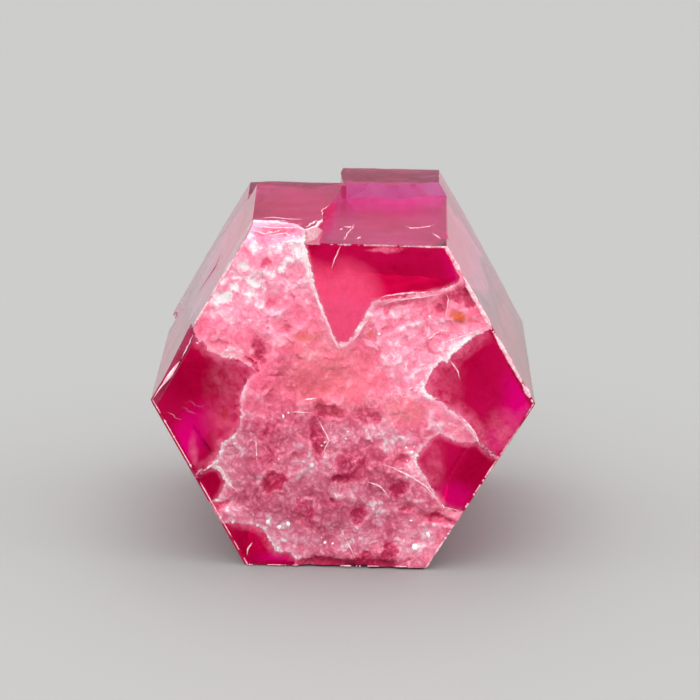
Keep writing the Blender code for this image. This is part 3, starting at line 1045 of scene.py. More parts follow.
@dataclass(frozen=True)
class WornAndHighlightBeryl:
    """Bruised, powdery beryl on worn edges and cracks, also used for painted highlights: the glints, the
    bright lines on the bevel and the highlights along the worn edges.
    """

    name: str
    low: Colour
    high: Colour
    roughness: float = 0.45

    def material(self) -> Material:
        """Builds the material."""
        material, nodes, shader = new_material(self.name)
        grain = nodes.noise(nodes.millimetres(), 0.05, 3.0, 0.6)
        colour = nodes.mix(nodes.span(grain, 0.35, 0.65), (*self.low, 1.0), (*self.high, 1.0))
        nodes.feed(shader.inputs["Base Color"], colour)
        shader.inputs["Roughness"].default_value = self.roughness
        nodes.feed(shader.inputs["Normal"], nodes.bump(grain, 0.006 * MM))
        return material


# ---- The crystal ----


class Surface(Enum):
    """The kinds of surface on the clear body, each with how frosted it is."""

    WINDOW = 0.02
    GROWTH = 0.09
    CHIP = 0.12
    MILKY_FRONT = 0.22
    BREAK = 0.45


@dataclass
class ClearBody:
    """The clear crystal: six long faces, a front end with windows, ledges, chips and a broken back end."""

    cell: float = 0.075
    half_width: float = 3.45
    unevenness: float = 0.28
    break_facets: tuple[tuple[float, float, float], ...] = (
        (0.05, -0.07, 0.10), (-0.20, 0.06, 0.16), (0.16, 0.17, 0.22), (0.03, -0.30, 0.42))
    break_lump: float = 0.10
    break_lump_size: float = 0.8
    break_grain: float = 0.05
    break_grain_size: float = 0.25
    break_seam: float = 0.02
    break_seam_size: float = 0.5
    right_level: Outline = (
        (-0.63, -1.00), (-0.63, 0.05), (-0.48, 0.36), (-0.40, 1.20), (-0.43, 2.00), (-0.30, 2.70),
        (-0.22, 3.60), (-0.16, 4.60), (0.35, 4.95), (0.80, 4.75), (1.35, 5.25), (2.60, 5.10), (2.60, -1.00))
    back_level: Outline = (
        (-2.60, 4.30), (-1.30, 4.60), (-0.62, 4.35), (-0.14, 4.90), (-0.20, 6.10), (-0.06, 8.50),
        (-2.60, 8.50))
    plates: tuple[tuple[LongFace, float, Outline], ...] = (
        (Prism.FACES[2], 0.02, (
            (-0.20, 2.3), (-0.75, 2.7), (-0.95, 4.1), (-0.80, 6.3), (0.10, 6.4), (0.45, 5.2), (0.20, 3.4))),
        (Prism.FACES[4], 0.05, (
            (0.60, 3.1), (-0.15, 3.5), (-0.30, 4.8), (0.10, 5.9), (0.95, 5.6), (1.05, 4.0))),
        (Prism.FACES[3], 0.05, (
            (-0.10, 1.6), (-0.85, 2.2), (-0.95, 3.9), (-0.40, 4.7), (0.35, 4.2), (0.45, 2.4))),
        (Prism.FACES[1], 0.06, (
            (0.30, 3.0), (-0.55, 3.6), (-0.80, 5.0), (-0.60, 6.4), (0.55, 6.5), (0.80, 5.1))),
    )
    plate_root: float = 0.3
    # Each chip's middle, half sizes and turn in degrees
    chips: tuple[tuple[Vector, Vector, float], ...] = (
        (Vector((-1.52, -0.10, 2.80)), Vector((0.62, 0.44, 0.16)), 8.0),
        (Vector((1.66, 0.95, 2.56)), Vector((0.16, 0.42, 0.13)), -30.0),
        (Vector((0.24, -0.02, -2.74)), Vector((0.22, 0.20, 0.12)), 0.0),
        (Vector((-2.46, -0.06, 1.02)), Vector((0.15, 0.22, 0.17)), 40.0),
        (Vector((1.55, 4.6, -2.62)), Vector((0.24, 0.60, 0.18)), 30.0),
        (Vector((-2.98, 5.9, 0.05)), Vector((0.20, 0.75, 0.28)), 0.0),
        (Vector((2.95, 6.9, 0.30)), Vector((0.34, 0.50, 0.45)), 0.0),
        (Vector((-1.85, 6.95, 2.42)), Vector((0.50, 0.42, 0.30)), 20.0),
    )
    chip_ripple: float = 0.012
    chip_ripple_rate: float = 60.0
    bevel_top: Vector = field(default_factory=lambda: Vector((-2.38, 0.0, 1.12)))
    bevel_bottom: Vector = field(default_factory=lambda: Vector((-3.14, 0.0, -0.22)))
    bevel_width: float = 0.21
    bevel_turn: float = 49.0
    in_line: float = 0.9995
    front_reach: float = 0.3
    break_start: float = 6.0
    sharp_angle: float = 24.0

    def back_relief(self, x: float, z: float) -> float:
        """How far the break reaches past the crystal's length."""
        facet = min(across * x + upwards * z + offset for across, upwards, offset in self.break_facets)
        coarse = self.break_lump * lumps(x, Layer.BREAK, z, self.break_lump_size)
        fine = self.break_grain * lumps(x, Layer.BREAK_FINE, z, self.break_grain_size)
        seams = self.break_seam * ridges(x, Layer.BREAK_SEAMS, z, self.break_seam_size)
        return facet + coarse + (fine + seams)

    def block(self) -> BMesh:
        """The block with both ends, wider than the crystal."""
        bm = front_grid(self.cell, self.half_width, self.unevenness)
        front, back = draw_out(bm)
        for vert, depth in zip(front, Relief().clear(front_places(front))):
            vert.co.y = depth
        for vert in back:
            vert.co.y = Prism.LENGTH + self.back_relief(vert.co.x, vert.co.z)
        return bm

    def trim_all(self, bm: BMesh) -> None:
        """Cuts the six long faces, the narrow chamfers between them and those round the front end."""
        for face in Prism.FACES:
            trim(bm, face.point(), face.normal())
        for face in Prism.FACES:
            tilt = (face.normal() + Vector((0.0, -1.0, 0.0))).normalized()
            trim(bm, face.point() - tilt * face.chamfer * math.sqrt(0.5), tilt)

    def scoop(self, middle: Vector, radii: Vector, turn: float) -> BMesh:
        """A shell-shaped cutter for a chip."""
        bm = bmesh.new()
        bmesh.ops.create_uvsphere(bm, u_segments=28, v_segments=18, radius=1.0)
        bmesh.ops.scale(bm, verts=bm.verts, vec=radii)
        bmesh.ops.rotate(bm, verts=bm.verts, matrix=Matrix.Rotation(math.radians(-turn), 3, "Y"))
        bmesh.ops.translate(bm, verts=bm.verts, vec=middle)
        for vert in bm.verts:
            outwards = (vert.co - middle).normalized()
            ripple = math.sin(self.chip_ripple_rate * (vert.co - middle).length)
            vert.co += outwards * self.chip_ripple * ripple
        return bm

    def bevel_plane(self) -> tuple[Vector, Vector]:
        """A point on the bevel of the front left edge, and its outward normal."""
        lean = Vector((0.0, 0.0, 1.0)).rotation_difference(self.bevel_top - self.bevel_bottom)
        turn = math.radians(self.bevel_turn)
        outwards = lean @ Vector((-math.cos(turn), -math.sin(turn), 0.0))
        return (self.bevel_top + self.bevel_bottom) / 2 - outwards * self.bevel_width / 2, outwards

    def bevel_cutter(self) -> BMesh:
        """A long box whose inner side is the bevel."""
        along = self.bevel_top - self.bevel_bottom
        bm = bmesh.new()
        bmesh.ops.create_cube(bm, size=1.0)
        box_width = 4 * self.bevel_width
        turn = math.radians(self.bevel_turn)
        bmesh.ops.scale(bm, verts=bm.verts, vec=(box_width, box_width, along.length))
        bmesh.ops.rotate(bm, verts=bm.verts, matrix=Matrix.Rotation(turn, 3, "Z"))
        lean = Vector((0.0, 0.0, 1.0)).rotation_difference(along).to_matrix()
        bmesh.ops.rotate(bm, verts=bm.verts, matrix=lean)
        point, outwards = self.bevel_plane()
        bmesh.ops.translate(bm, verts=bm.verts, vec=point + outwards * box_width / 2)
        return bm

    def lower_level(self) -> BMesh:
        """What is cut from the right of the top face."""
        bm = slab(self.right_level, 0.0, Prism.BLOCK_TOP - Prism.TOP_LEVEL, 0.0)
        bmesh.ops.rotate(bm, verts=bm.verts, matrix=Matrix.Rotation(-Prism.LEVEL_FALL, 3, "X"))
        bmesh.ops.translate(bm, verts=bm.verts, vec=(0.0, 0.0, Prism.TOP_LEVEL))
        return bm

    def frost(self, piece: Piece) -> None:
        """Stores how frosted each face is, by which way it looks and where it is."""
        count = len(piece.data.polygons)
        centres, normals = np.zeros(count * 3), np.zeros(count * 3)
        piece.data.polygons.foreach_get("center", centres)
        piece.data.polygons.foreach_get("normal", normals)
        centres, normals = centres.reshape(-1, 3), normals.reshape(-1, 3)
        values = np.full(count, Surface.CHIP.value)
        for face in Prism.FACES:
            values[normals @ np.array(face.normal()) > self.in_line] = Surface.GROWTH.value
        front = (normals[:, 1] < -0.5) & (centres[:, 1] < self.front_reach)
        values[front] = Surface.MILKY_FRONT.value
        for window in WINDOWS.values():
            within = depth_into(centres[:, (0, 2)], window.outline) > 0
            values[front & within & (normals[:, 1] < -0.95)] = Surface.WINDOW.value
        values[(normals[:, 1] > 0.3) & (centres[:, 1] > self.break_start)] = Surface.BREAK.value
        set_values(piece, "frost", "FACE", values)

    def build(self) -> Piece:
        """Builds, dresses and places the clear body."""
        bm = self.block()
        self.trim_all(bm)
        body = to_object("clear_body", bm)
        raised = [
            slab(outline, face.distance - self.plate_root, face.distance + height, face.turn - 90.0)
            for face, height, outline in self.plates
        ]
        carve(body, to_object("plates", joined(raised)), "UNION")
        levels = [self.lower_level(), slab(self.back_level, Prism.BACK_LEVEL, Prism.BLOCK_TOP, 0.0)]
        for number, level in enumerate(levels):
            carve(body, to_object(f"level_{number}", level), "DIFFERENCE")
        carve(body, to_object("bevel", self.bevel_cutter()), "DIFFERENCE")
        carve(body, to_object("chips", joined([self.scoop(*chip) for chip in self.chips])), "DIFFERENCE")
        body.data.shade_smooth()
        body.data.set_sharp_from_angle(angle=math.radians(self.sharp_angle))
        self.frost(body)
        settle(body, ClearBeryl().material())
        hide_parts(NODE)
        return body


def outer_gap(places: np.ndarray, full: float = 0.3) -> np.ndarray:
    """How far each place (x, z) is from the crystal's edges, from 0 at an edge to 1 at the full distance."""
    reach = [places @ np.array(face.normal().xz) - face.distance for face in Prism.FACES]
    return np.clip(-np.max(reach, axis=0) / full, 0.0, 1.0)


def front_places(verts: list[bmesh.types.BMVert]) -> np.ndarray:
    """The (x, z) of each vertex, one a row."""
    return np.array([(vert.co.x, vert.co.z) for vert in verts])


def keep_faces(bm: BMesh, wanted: object) -> None:
    """Deletes the faces whose middle isn't wanted.

    Args:
        bm: the sheet.
        wanted: a function from places (x, z) to a truth value for each.
    """
    middles = np.array([face.calc_center_median().xz for face in bm.faces])
    unwanted = [face for face, keep in zip(list(bm.faces), wanted(middles)) if not keep]
    bmesh.ops.delete(bm, geom=unwanted, context="FACES")


@dataclass
class MilkyZone:
    """The fractured, milky zone between the windows: a rough slab in the front end."""

    cell: float = 0.036
    half_width: float = 3.2
    unevenness: float = 0.2
    inset: float = 0.012
    top_proud: float = 0.004
    reach_back: float = 0.8
    fringe: float = 0.06
    rim_width: float = 0.07
    thinnest: float = 0.03
    thickening: float = 1.2
    thickest: float = 0.7
    extra: float = 1.2
    fall: float = 0.133
    sharp_angle: float = 50.0
    # How much a large and a small shard count for the shade there, and how strong a small one's seams are
    shard_shares: tuple[float, float] = (0.6, 0.4)
    small_seam: float = 0.6
    # How much of each tone follows the place itself, the small shard and the large shard there
    tone_shares = (
        (Tone.PALE, 0.70, 0.30, 0.00),
        (Tone.HOLLOW, 0.45, 0.35, 0.20),
        (Tone.WARM, 0.60, 0.20, 0.20),
        (Tone.DUSTY_AND_SHADED, 0.60, 0.20, 0.20),
        (Tone.RUST, 0.70, 0.30, 0.00),
        (Tone.MILKY, 0.70, 0.15, 0.15),
    )

    def build(self) -> Piece:
        """Builds, dresses and places the milky zone."""
        bm = front_grid(self.cell, self.half_width, self.unevenness)
        keep_faces(bm, lambda middles: window_gap(middles) > -self.fringe)
        front, back = draw_out(bm)
        places = front_places(front)
        depths = Relief().milky(places)
        thickness = self.thinnest + self.thickening * np.maximum(0, window_gap(places))
        thickness = np.minimum(self.thickest, thickness) * (1 + self.extra * tone_amount(Tone.THICK, places))
        for vert, depth in zip(front, depths):
            vert.co.y = depth
        for vert, depth, thick in zip(back, depths, thickness):
            vert.co.y = depth + thick
            vert.co.z -= self.fall * thick
        for face in Prism.FACES:
            inset = -self.top_proud if face is Prism.TOP else self.inset
            trim(bm, face.point(inset), face.normal(), in_triangles=True)
        zone = to_object("milky_zone", bm)
        vertices = vertex_places(zone)
        places = vertices[:, (0, 2)]
        large, _, large_share, large_seams = Relief().large.survey(places)
        small, _, small_share, small_seams = Relief().small.survey(places)
        for tone, own, by_small, by_large in self.tone_shares:
            amounts = own * tone_amount(tone, places)
            amounts += by_small * tone_amount(tone, small) + by_large * tone_amount(tone, large)
            set_values(zone, tone.value, "POINT", amounts)
        of_large, of_small = self.shard_shares
        set_values(zone, "shard", "POINT", of_large * large_share + of_small * small_share)
        set_values(zone, "seam", "POINT", np.maximum(large_seams, self.small_seam * small_seams))
        margin = np.clip(window_gap(places) / self.rim_width, -1.5, 4.0)
        far_back = np.clip(vertices[:, 1] / self.reach_back, 0.0, 2.0) * tone_amount(Tone.THICK, places)
        set_values(zone, "margin", "POINT", margin - 4 * far_back)
        zone.data.shade_smooth()
        zone.data.set_sharp_from_angle(angle=math.radians(self.sharp_angle))
        settle(zone, MilkyBeryl().material())
        return zone


@dataclass
class CloudyInside:
    """The milky zone's continuation: healed cracks and clouds that run back through the crystal."""

    cell: float = 0.12
    half_width: float = 2.6
    unevenness: float = 0.2
    start: float = 0.55
    end: float = 6.3
    fall: float = 0.133
    lowest: float = -1.6
    lump: float = 0.16
    lump_size: float = 0.7
    back_rise: float = 0.5
    back_rise_start: float = 4.0
    back_spread: float = 0.22
    back_spread_start: float = 1.2
    upright_shift: float = 9.0
    rings: int = 20
    outline: Outline = (
        (-1.90, 1.10), (-1.45, 1.45), (-0.70, 1.55), (0.00, 1.60), (0.50, 1.55), (1.10, 1.50),
        (1.50, 1.35), (1.20, 0.90), (1.05, 0.30), (1.20, -0.10), (0.95, -0.80), (1.10, -1.50), (0.60, -2.00),
        (-1.00, -1.90), (-1.60, -1.60), (-1.55, -0.60), (-1.30, 0.10), (-1.25, 0.60), (-1.80, 0.95))

    def build(self) -> Piece:
        """Builds, dresses and places the cloudy inside."""
        bm = front_grid(self.cell, self.half_width, self.unevenness)
        keep_faces(bm, lambda middles: depth_into(middles, self.outline) > 0)
        front, back = draw_out(bm)
        for verts, depth in ((front, self.start), (back, self.end)):
            for vert in verts:
                wave = self.lump * lumps(vert.co.x, depth, vert.co.z, self.lump_size)
                vert.co.y = depth + wave
        bmesh.ops.triangulate(bm, faces=bm.faces)
        half_length = (self.end - self.start) / 2
        sides = [edge for edge in bm.edges if abs(edge.verts[0].co.y - edge.verts[1].co.y) > half_length]
        bmesh.ops.subdivide_edges(bm, edges=sides, cuts=self.rings, use_grid_fill=True)
        for vert in bm.verts:
            place = vert.co.copy()
            vert.co.x += self.lump * lumps(place.x, place.y, place.z, self.lump_size)
            vert.co.z += self.lump * lumps(place.x + self.upright_shift, place.y, place.z, self.lump_size)
            spread = self.back_spread * max(0.0, min(1.0, vert.co.y - self.back_spread_start))
            vert.co.x *= 1 + spread * (vert.co.z > 0.8)
            rise = self.back_rise * max(0.0, min(1.0, vert.co.y - self.back_rise_start)) * (vert.co.z > 1.0)
            vert.co.z = max(self.lowest, vert.co.z - self.fall * vert.co.y + rise)
        inside = to_object("cloudy_inside", bm)
        inside.data.shade_smooth()
        settle(inside, CloudBeryl().material())
        return inside


@dataclass
class Veil:
    """Haze, a cloud, a stain, painted light or painted shade on the windows, as a thin soft-edged film just
    in front of them.

    Args:
        finish: its material.
        cover: a function from places (x, z) to how much it covers there.
        level: how far in front of the window it lies.
        past_rim: how far it runs out past a window's rim, under the milk.
        soft_edge: how much of that it takes to fade out.
    """

    finish: VeilBeryl
    cover: object
    level: float
    cell: float = 0.028
    half_width: float = 3.2
    unevenness: float = 0.2
    thickness: float = 0.002
    edge_gap: float = 0.01
    least_cover: float = 0.01
    past_rim: float = 0.03
    soft_edge: float = 0.02

    def on_window(self, places: np.ndarray) -> np.ndarray:
        """Whether each place is on a window or its rim, clear of the crystal's edges."""
        reach = [
            places @ np.array(face.normal().xz) - face.distance + face.chamfer for face in Prism.FACES
        ]
        return (np.max(reach, axis=0) < -self.edge_gap) & (window_gap(places) < 1.5 * self.past_rim)

    def build(self) -> Piece:
        """Builds, dresses and places the film."""
        bm = front_grid(self.cell, self.half_width, self.unevenness)
        keep_faces(bm, lambda middles: (self.cover(middles) > self.least_cover) & self.on_window(middles))
        front, back = draw_out(bm)
        _, depths = nearest_window(front_places(front))
        for vert, depth in zip(front, depths):
            vert.co.y = depth - self.level
        for vert, depth in zip(back, depths):
            vert.co.y = depth - self.level + self.thickness
        veil = to_object(self.finish.name, bm)
        places = vertex_places(veil)[:, (0, 2)]
        both_sides = 1 - np.sqrt(1 - self.cover(places))
        edge = np.clip((self.past_rim - window_gap(places)) / self.soft_edge, 0.0, 1.0)
        set_values(veil, "cover", "POINT", both_sides * edge)
        veil.data.shade_smooth()
        settle(veil, self.finish.material())
        return veil


@dataclass
class BevelPaintedShade:
    """Painted shade on the bevel of the front left edge: a dull dark-rose thin film on it, for how dark the
    bevel looks.
    """

    outline: Outline = (
        (-2.405, 1.16), (-2.31, 0.97), (-2.42, 0.76), (-2.69, 0.27), (-2.94, -0.17), (-2.985, -0.04),
        (-2.72, 0.50))
    colour: Colour = (0.32, 0.03, 0.08)
    cover: float = 0.75
    level: float = 0.004
    thickness: float = 0.002
    wispiness: float = 0.8

    def build(self) -> Piece:
        """Builds, dresses and places the film."""
        middle, outwards = ClearBody().bevel_plane()
        bm = bmesh.new()
        corners = []
        for x, z in self.outline:
            place = Vector((x, 0.0, z)) - middle
            along = -(outwards.x * place.x + outwards.z * place.z) / outwards.y
            corners.append(bm.verts.new(middle + Vector((place.x, along, place.z)) + outwards * self.level))
        bm.faces.new(corners)
        _, back = draw_out(bm)
        bmesh.ops.translate(bm, verts=back, vec=-outwards * self.thickness)
        sheen = to_object("bevel_painted_shade", bm)
        set_values(sheen, "cover", "POINT", np.full(len(sheen.data.vertices), self.cover))
        # A dark rose film: painted shade on the bevel
        settle(sheen, VeilBeryl("bevel_painted_shade", self.colour, self.wispiness).material())
        return sheen


CLOUDED: Outline = (
    (-1.00, 2.55), (-0.50, 2.25), (-0.22, 2.18), (-0.15, 2.30), (0.05, 2.30), (0.24, 2.22), (0.43, 2.10),
    (0.56, 1.90), (0.64, 1.60), (0.60, 1.20), (0.00, 0.50), (-0.60, 0.80))


def cloud_density(places: np.ndarray, most: float = 0.85, fade: float = 0.35) -> np.ndarray:
    """How dense the cloud in the top window is: it thins out towards its edge over a fade."""
    past_edge = 0.05
    return np.clip(most * (depth_into(places, CLOUDED) + past_edge) / fade, 0.0, most)


def haze_cover(places: np.ndarray, most: float = 0.7, past_rim: float = 0.04) -> np.ndarray:
    """How much haze covers each place (x, z) on the windows, with the milk thinning out along their rims."""
    cover = tone_amount(Tone.HAZE, places)
    for window in WINDOWS.values():
        inside = depth_into(places, window.outline)
        thinned = np.where(inside > -past_rim, np.clip(1 - inside / window.fade, 0.0, 1.0), 0.0)
        cover = np.maximum(cover, most * thinned * outer_gap(places))
    return cover


def build_veils() -> None:
    """Builds the cloud in the top window, and the haze, the stain, the painted light and the painted shade
    in all of them.
    """
    Veil(VeilBeryl("cloud", (0.93, 0.09, 0.22), wispiness=0.25), cloud_density, level=0.009).build()
    Veil(VeilBeryl("haze", (0.90, 0.17, 0.32), wispiness=0.9, size=0.16), haze_cover, level=0.012).build()
    # Painted light and painted shade are films coloured like brighter and darker light in the windows; the
    # stain is rust
    for name, tone, colour, level in (
        ("glow", Tone.GLOW, (0.80, 0.0, 0.22), 0.006),
        ("shade", Tone.PAINTED_SHADE, (0.34, 0.0, 0.025), 0.003),
        ("stain", Tone.RUST, (0.60, 0.05, 0.02), 0.014),
    ):
        finish = VeilBeryl(name, colour, wispiness=0.25)
        Veil(finish, functools.partial(tone_amount, tone), level).build()


# ---- Cracks, worn edges with painted highlights, and painted glints ----


def surface_depth(places: np.ndarray) -> np.ndarray:
    """How far the crystal's surface lies behind the front face at each place (x, z)."""
    depths = Relief().milky(places)
    for window in WINDOWS.values():
        depths = np.where(depth_into(places, window.outline) > 0, window.depth, depths)
    return depths


@dataclass(frozen=True)
class Crack:
    """A thin crest or hairline on the front end, or a pale thread painted as a highlight.

    Args:
        route: its corners as (x, z).
        radius: half its width in the middle.
        wobble: how far it strays from a straight line.
    """

    route: Outline
    radius: float = 0.010
    wobble: float = 0.015

    def points(self, spacing: float = 0.03) -> np.ndarray:
        """Its points (x, y, z), closely spaced, on the surface."""
        places = []
        for start, end in zip(self.route, self.route[1:]):
            first, last = np.array(start), np.array(end)
            count = max(2, round(np.linalg.norm(last - first) / spacing))
            places += [first + (last - first) * share for share in np.arange(count) / count]
        places.append(np.array(self.route[-1]))
        size = 0.08
        strayed = [
            (x + self.wobble * lumps(x, Layer.CRACKS_ASIDE, z, size),
             z + self.wobble * lumps(x, Layer.CRACKS_UP, z, size))
            for x, z in places
        ]
        depths = surface_depth(np.array(strayed))
        return np.array([(x, depth, z) for (x, z), depth in zip(strayed, depths)])


CRACKS = (
    # Streaks on the lip at the upper left
    Crack(((-1.55, 2.66), (-1.25, 2.60), (-0.95, 2.67)), 0.013),
    Crack(((-1.22, 2.57), (-0.95, 2.62), (-0.72, 2.56)), 0.011),
    Crack(((-1.05, 2.50), (-0.85, 2.52), (-0.66, 2.50)), 0.013),
    # The crest and the double edge under the top window, and the line down its left side
    Crack(((1.56, 1.85), (1.30, 1.78), (0.99, 1.76), (0.68, 1.72), (0.41, 1.63)), 0.014),
    Crack(((1.55, 1.77), (1.15, 1.70), (0.76, 1.64), (0.50, 1.53)), 0.009),
    Crack(((-0.66, 2.46), (-0.60, 2.21), (-0.51, 1.85), (-0.42, 1.58), (-0.27, 1.22), (-0.16, 0.98),
           (-0.03, 0.72)), 0.020),
    Crack(((-0.09, 2.50), (-0.18, 2.28), (-0.24, 2.09)), 0.009),
    # The right window: its rim, its hairline and the long arc under it
    Crack(((1.39, 0.95), (1.63, 1.01), (1.91, 1.13), (2.20, 1.25)), 0.012),
    Crack(((1.60, 0.76), (1.69, 0.65), (1.77, 0.54), (1.81, 0.40)), 0.013, 0.005),
    Crack(((1.51, 0.04), (1.79, -0.13), (1.95, -0.30), (2.07, -0.45), (2.12, -0.59), (2.28, -0.75),
           (2.44, -0.87)), 0.017, 0.008),
    # Crests in the middle of the right side
    Crack(((1.22, 1.00), (1.32, 1.05), (1.41, 1.12), (1.54, 1.23)), 0.010),
    Crack(((1.55, 1.82), (1.59, 1.66), (1.56, 1.35)), 0.007),
    Crack(((0.37, 1.36), (0.23, 1.15), (0.13, 0.98)), 0.015),
    Crack(((0.59, -0.98), (0.78, -1.04), (1.10, -1.18), (1.34, -1.35), (1.59, -1.67)), 0.012),
    Crack(((1.34, -1.26), (1.45, -1.43), (1.62, -1.67), (1.93, -1.73)), 0.012, 0.005),
    Crack(((0.35, -1.28), (0.55, -1.31), (0.68, -1.43), (0.77, -1.58)), 0.010),
    # Straight scratches and shard edges in the lower middle
    Crack(((-0.41, -0.27), (-0.21, -0.62), (-0.33, -0.89)), 0.011, 0.002),
    Crack(((-0.06, -1.97), (0.12, -2.28), (0.25, -2.55)), 0.008, 0.002),
    Crack(((-1.36, -0.63), (-1.34, -0.98)), 0.009, 0.003),
    Crack(((-0.63, 0.02), (-0.43, 0.04)), 0.014),
    Crack(((-0.83, -0.18), (-0.68, -0.18), (-0.49, -0.19)), 0.008),
    # Wavy hairlines in the left window
    Crack(((-2.51, -0.06), (-2.40, -0.08), (-2.24, -0.14), (-2.15, -0.12), (-2.01, -0.15)), 0.002, 0.05),
    Crack(((-2.54, -0.14), (-2.45, -0.17), (-2.40, -0.24), (-2.24, -0.27)), 0.002, 0.05),
    Crack(((-2.79, -0.25), (-2.63, -0.32), (-2.49, -0.34)), 0.002, 0.05),
    # Painted highlights along the bevel, as pale threads
    Crack(((-2.57, 0.58), (-2.70, 0.38), (-2.86, 0.15)), 0.032, 0.003),
    Crack(((-2.80, 0.26), (-2.90, 0.10), (-2.98, -0.03)), 0.010, 0.003),
    Crack(((-2.36, 1.02), (-2.44, 0.82), (-2.56, 0.62)), 0.008, 0.02),
    # The crest between the two lower left windows and the left one, and a scratch on the lowest
    Crack(((-2.34, -1.31), (-2.20, -1.18), (-2.06, -1.09), (-1.93, -1.11), (-1.80, -1.34),
           (-1.61, -1.53)), 0.016),
    Crack(((-1.39, -2.32), (-1.46, -2.43), (-1.47, -2.53)), 0.014, 0.004),
)


@dataclass(frozen=True)
class TopLine:
    """A crest, a ripple or a hairline on the top face.

    Args:
        height: how high the face is at its front edge.
        fall: how much lower the face is for each millimetre back.
        route: its corners as (x, y).
        radius: half its width in the middle.
        sunk: how deep its middle lies in the face, as a share of its radius.
        wobble: how far it strays aside and along.
    """

    height: float
    fall: float
    route: Outline
    radius: float
    sunk: float = 0.3
    wobble: tuple[float, float] = (0.03, 0.05)

    def points(self, spacing: float = 0.04) -> np.ndarray:
        """Its points (x, y, z), closely spaced, on the face."""
        size = 0.12
        points = []
        for start, end in zip(self.route, self.route[1:]):
            first, along = Vector(start), Vector(end) - Vector(start)
            count = max(2, round(along.length / spacing))
            for number in range(count):
                x, y = first + along * (number / count)
                x += self.wobble[0] * lumps(x, y, Layer.TOP_ASIDE, size)
                y += self.wobble[1] * lumps(x, y, Layer.TOP_ALONG, size)
                points.append((x, y, self.height - self.fall * y - self.sunk * self.radius))
        return np.array(points)


# How high the raised plate and the ledge beside it are in front, and how they fall towards the back
PLATE, LEDGE = (2.71, 0.006), (2.51, 0.012)
PLATE_WALL: Outline = (
    (-0.70, 0.002), (-0.626, 0.002), (-0.626, 0.05), (-0.476, 0.36), (-0.396, 1.20), (-0.42, 1.20),
    (-0.50, 0.37), (-0.66, 0.05))
# Where the wall's sloping top meets the ledge, and how long the slope is
PLATE_WALL_END, PLATE_WALL_TAPER = 1.15, 0.80
TOP_LINES = (
    # The edge of the raised plate, and the ripples along its front
    TopLine(*PLATE, ((-0.64, 0.05), (-0.60, 0.18), (-0.50, 0.38), (-0.44, 0.75), (-0.41, 1.30)), 0.022),
    TopLine(*PLATE, ((-0.70, 0.20), (-0.60, 0.42), (-0.52, 0.80), (-0.50, 1.10)), 0.016),
    TopLine(*PLATE, ((-0.41, 1.30), (-0.43, 2.00), (-0.32, 2.65)), 0.007),
    TopLine(*PLATE, ((-1.54, 0.12), (-1.30, 0.20), (-1.00, 0.16), (-0.68, 0.25)), 0.009),
    TopLine(*PLATE, ((-1.52, 0.36), (-1.20, 0.30), (-0.92, 0.46), (-0.60, 0.38)), 0.008),
    TopLine(*PLATE, ((-1.50, 0.56), (-1.15, 0.64), (-0.85, 0.52), (-0.55, 0.62)), 0.007),
    TopLine(*PLATE, ((-1.47, 0.95), (-1.20, 1.14), (-0.90, 1.00), (-0.56, 1.06)), 0.007),
    TopLine(*PLATE, ((-1.38, 0.70), (-1.10, 0.84), (-0.80, 0.78)), 0.005),
    # The crack and the flakes beside it on the lower level
    TopLine(*LEDGE, ((-0.10, 0.03), (-0.02, 0.80), (0.06, 1.60), (0.12, 2.30)), 0.007),
    TopLine(*LEDGE, ((-0.10, 1.75), (0.02, 1.62), (0.05, 1.85)), 0.014),
    TopLine(*LEDGE, ((-0.14, 1.40), (-0.04, 1.48)), 0.012),
    TopLine(*LEDGE, ((0.16, 0.50), (0.20, 0.75)), 0.014),
    # Scuffs near the right edge
    TopLine(*LEDGE, ((0.86, 1.95), (1.00, 1.66), (1.12, 1.72), (1.30, 1.95), (1.47, 2.20)), 0.007),
    TopLine(*LEDGE, ((1.30, 1.30), (1.40, 1.00), (1.48, 0.60)), 0.010),
)


def rod(bm: BMesh, start: Vector, end: Vector, first: float, last: float) -> None:
    """Adds a short tapered rod between two points, a little too long so that it overlaps the next one.

    Args:
        bm: where it goes.
        start: its first end.
        end: its other end.
        first: its radius at the first end.
        last: its radius at the other end.
    """
    along = end - start
    length = 1.1 * along.length
    matrix = Matrix.Translation((start + end) / 2) @ along.to_track_quat("Z", "Y").to_matrix().to_4x4()
    bmesh.ops.create_cone(
        bm, cap_ends=True, segments=6, radius1=first, radius2=last, depth=length, matrix=matrix
    )


def thread(bm: BMesh, points: np.ndarray, radius: float, taper: float = 0.35, uneven: float = 0.45) -> None:
    """Adds a bumpy thread along points that is thin at both ends.

    Args:
        bm: where it goes.
        points: its points, one a row.
        radius: its radius in the middle.
        taper: how much of it tapers at each end, as a share of its length.
        uneven: how much its radius varies.
    """
    thinnest, bump_size = 0.15, 0.06
    shares = np.linspace(0, 1, len(points))
    radii = radius * np.clip(np.minimum(shares, 1 - shares) / taper, thinnest, 1.0)
    radii *= [1 + uneven * lumps(*point, bump_size) for point in points]
    for start, end, first, last in zip(points, points[1:], radii, radii[1:]):
        rod(bm, Vector(start), Vector(end), first, last)


def build_cracks() -> Piece:
    """Builds the crests, cracks and hairlines, the painted highlights on the bevel, and the bright wall
    under the plate's edge.
    """
    bm = bmesh.new()
    for crack in CRACKS + TOP_LINES:
        thread(bm, crack.points(), crack.radius)
    wall = slab(PLATE_WALL, LEDGE[0], PLATE[0], 0.0)
    step = PLATE[0] - LEDGE[0]
    trim(wall, Vector((0.0, PLATE_WALL_END, LEDGE[0])), Vector((0.0, step, PLATE_WALL_TAPER)).normalized())
    bm = joined([bm, wall])
    cracks = to_object("cracks", bm)
    # Pale threads: real crests and cracks, and on the bevel painted highlights
    settle(cracks, WornAndHighlightBeryl("crack_and_highlight_beryl", (0.95, 0.42, 0.52), (1.0, 0.80, 0.82)).material())
    return cracks


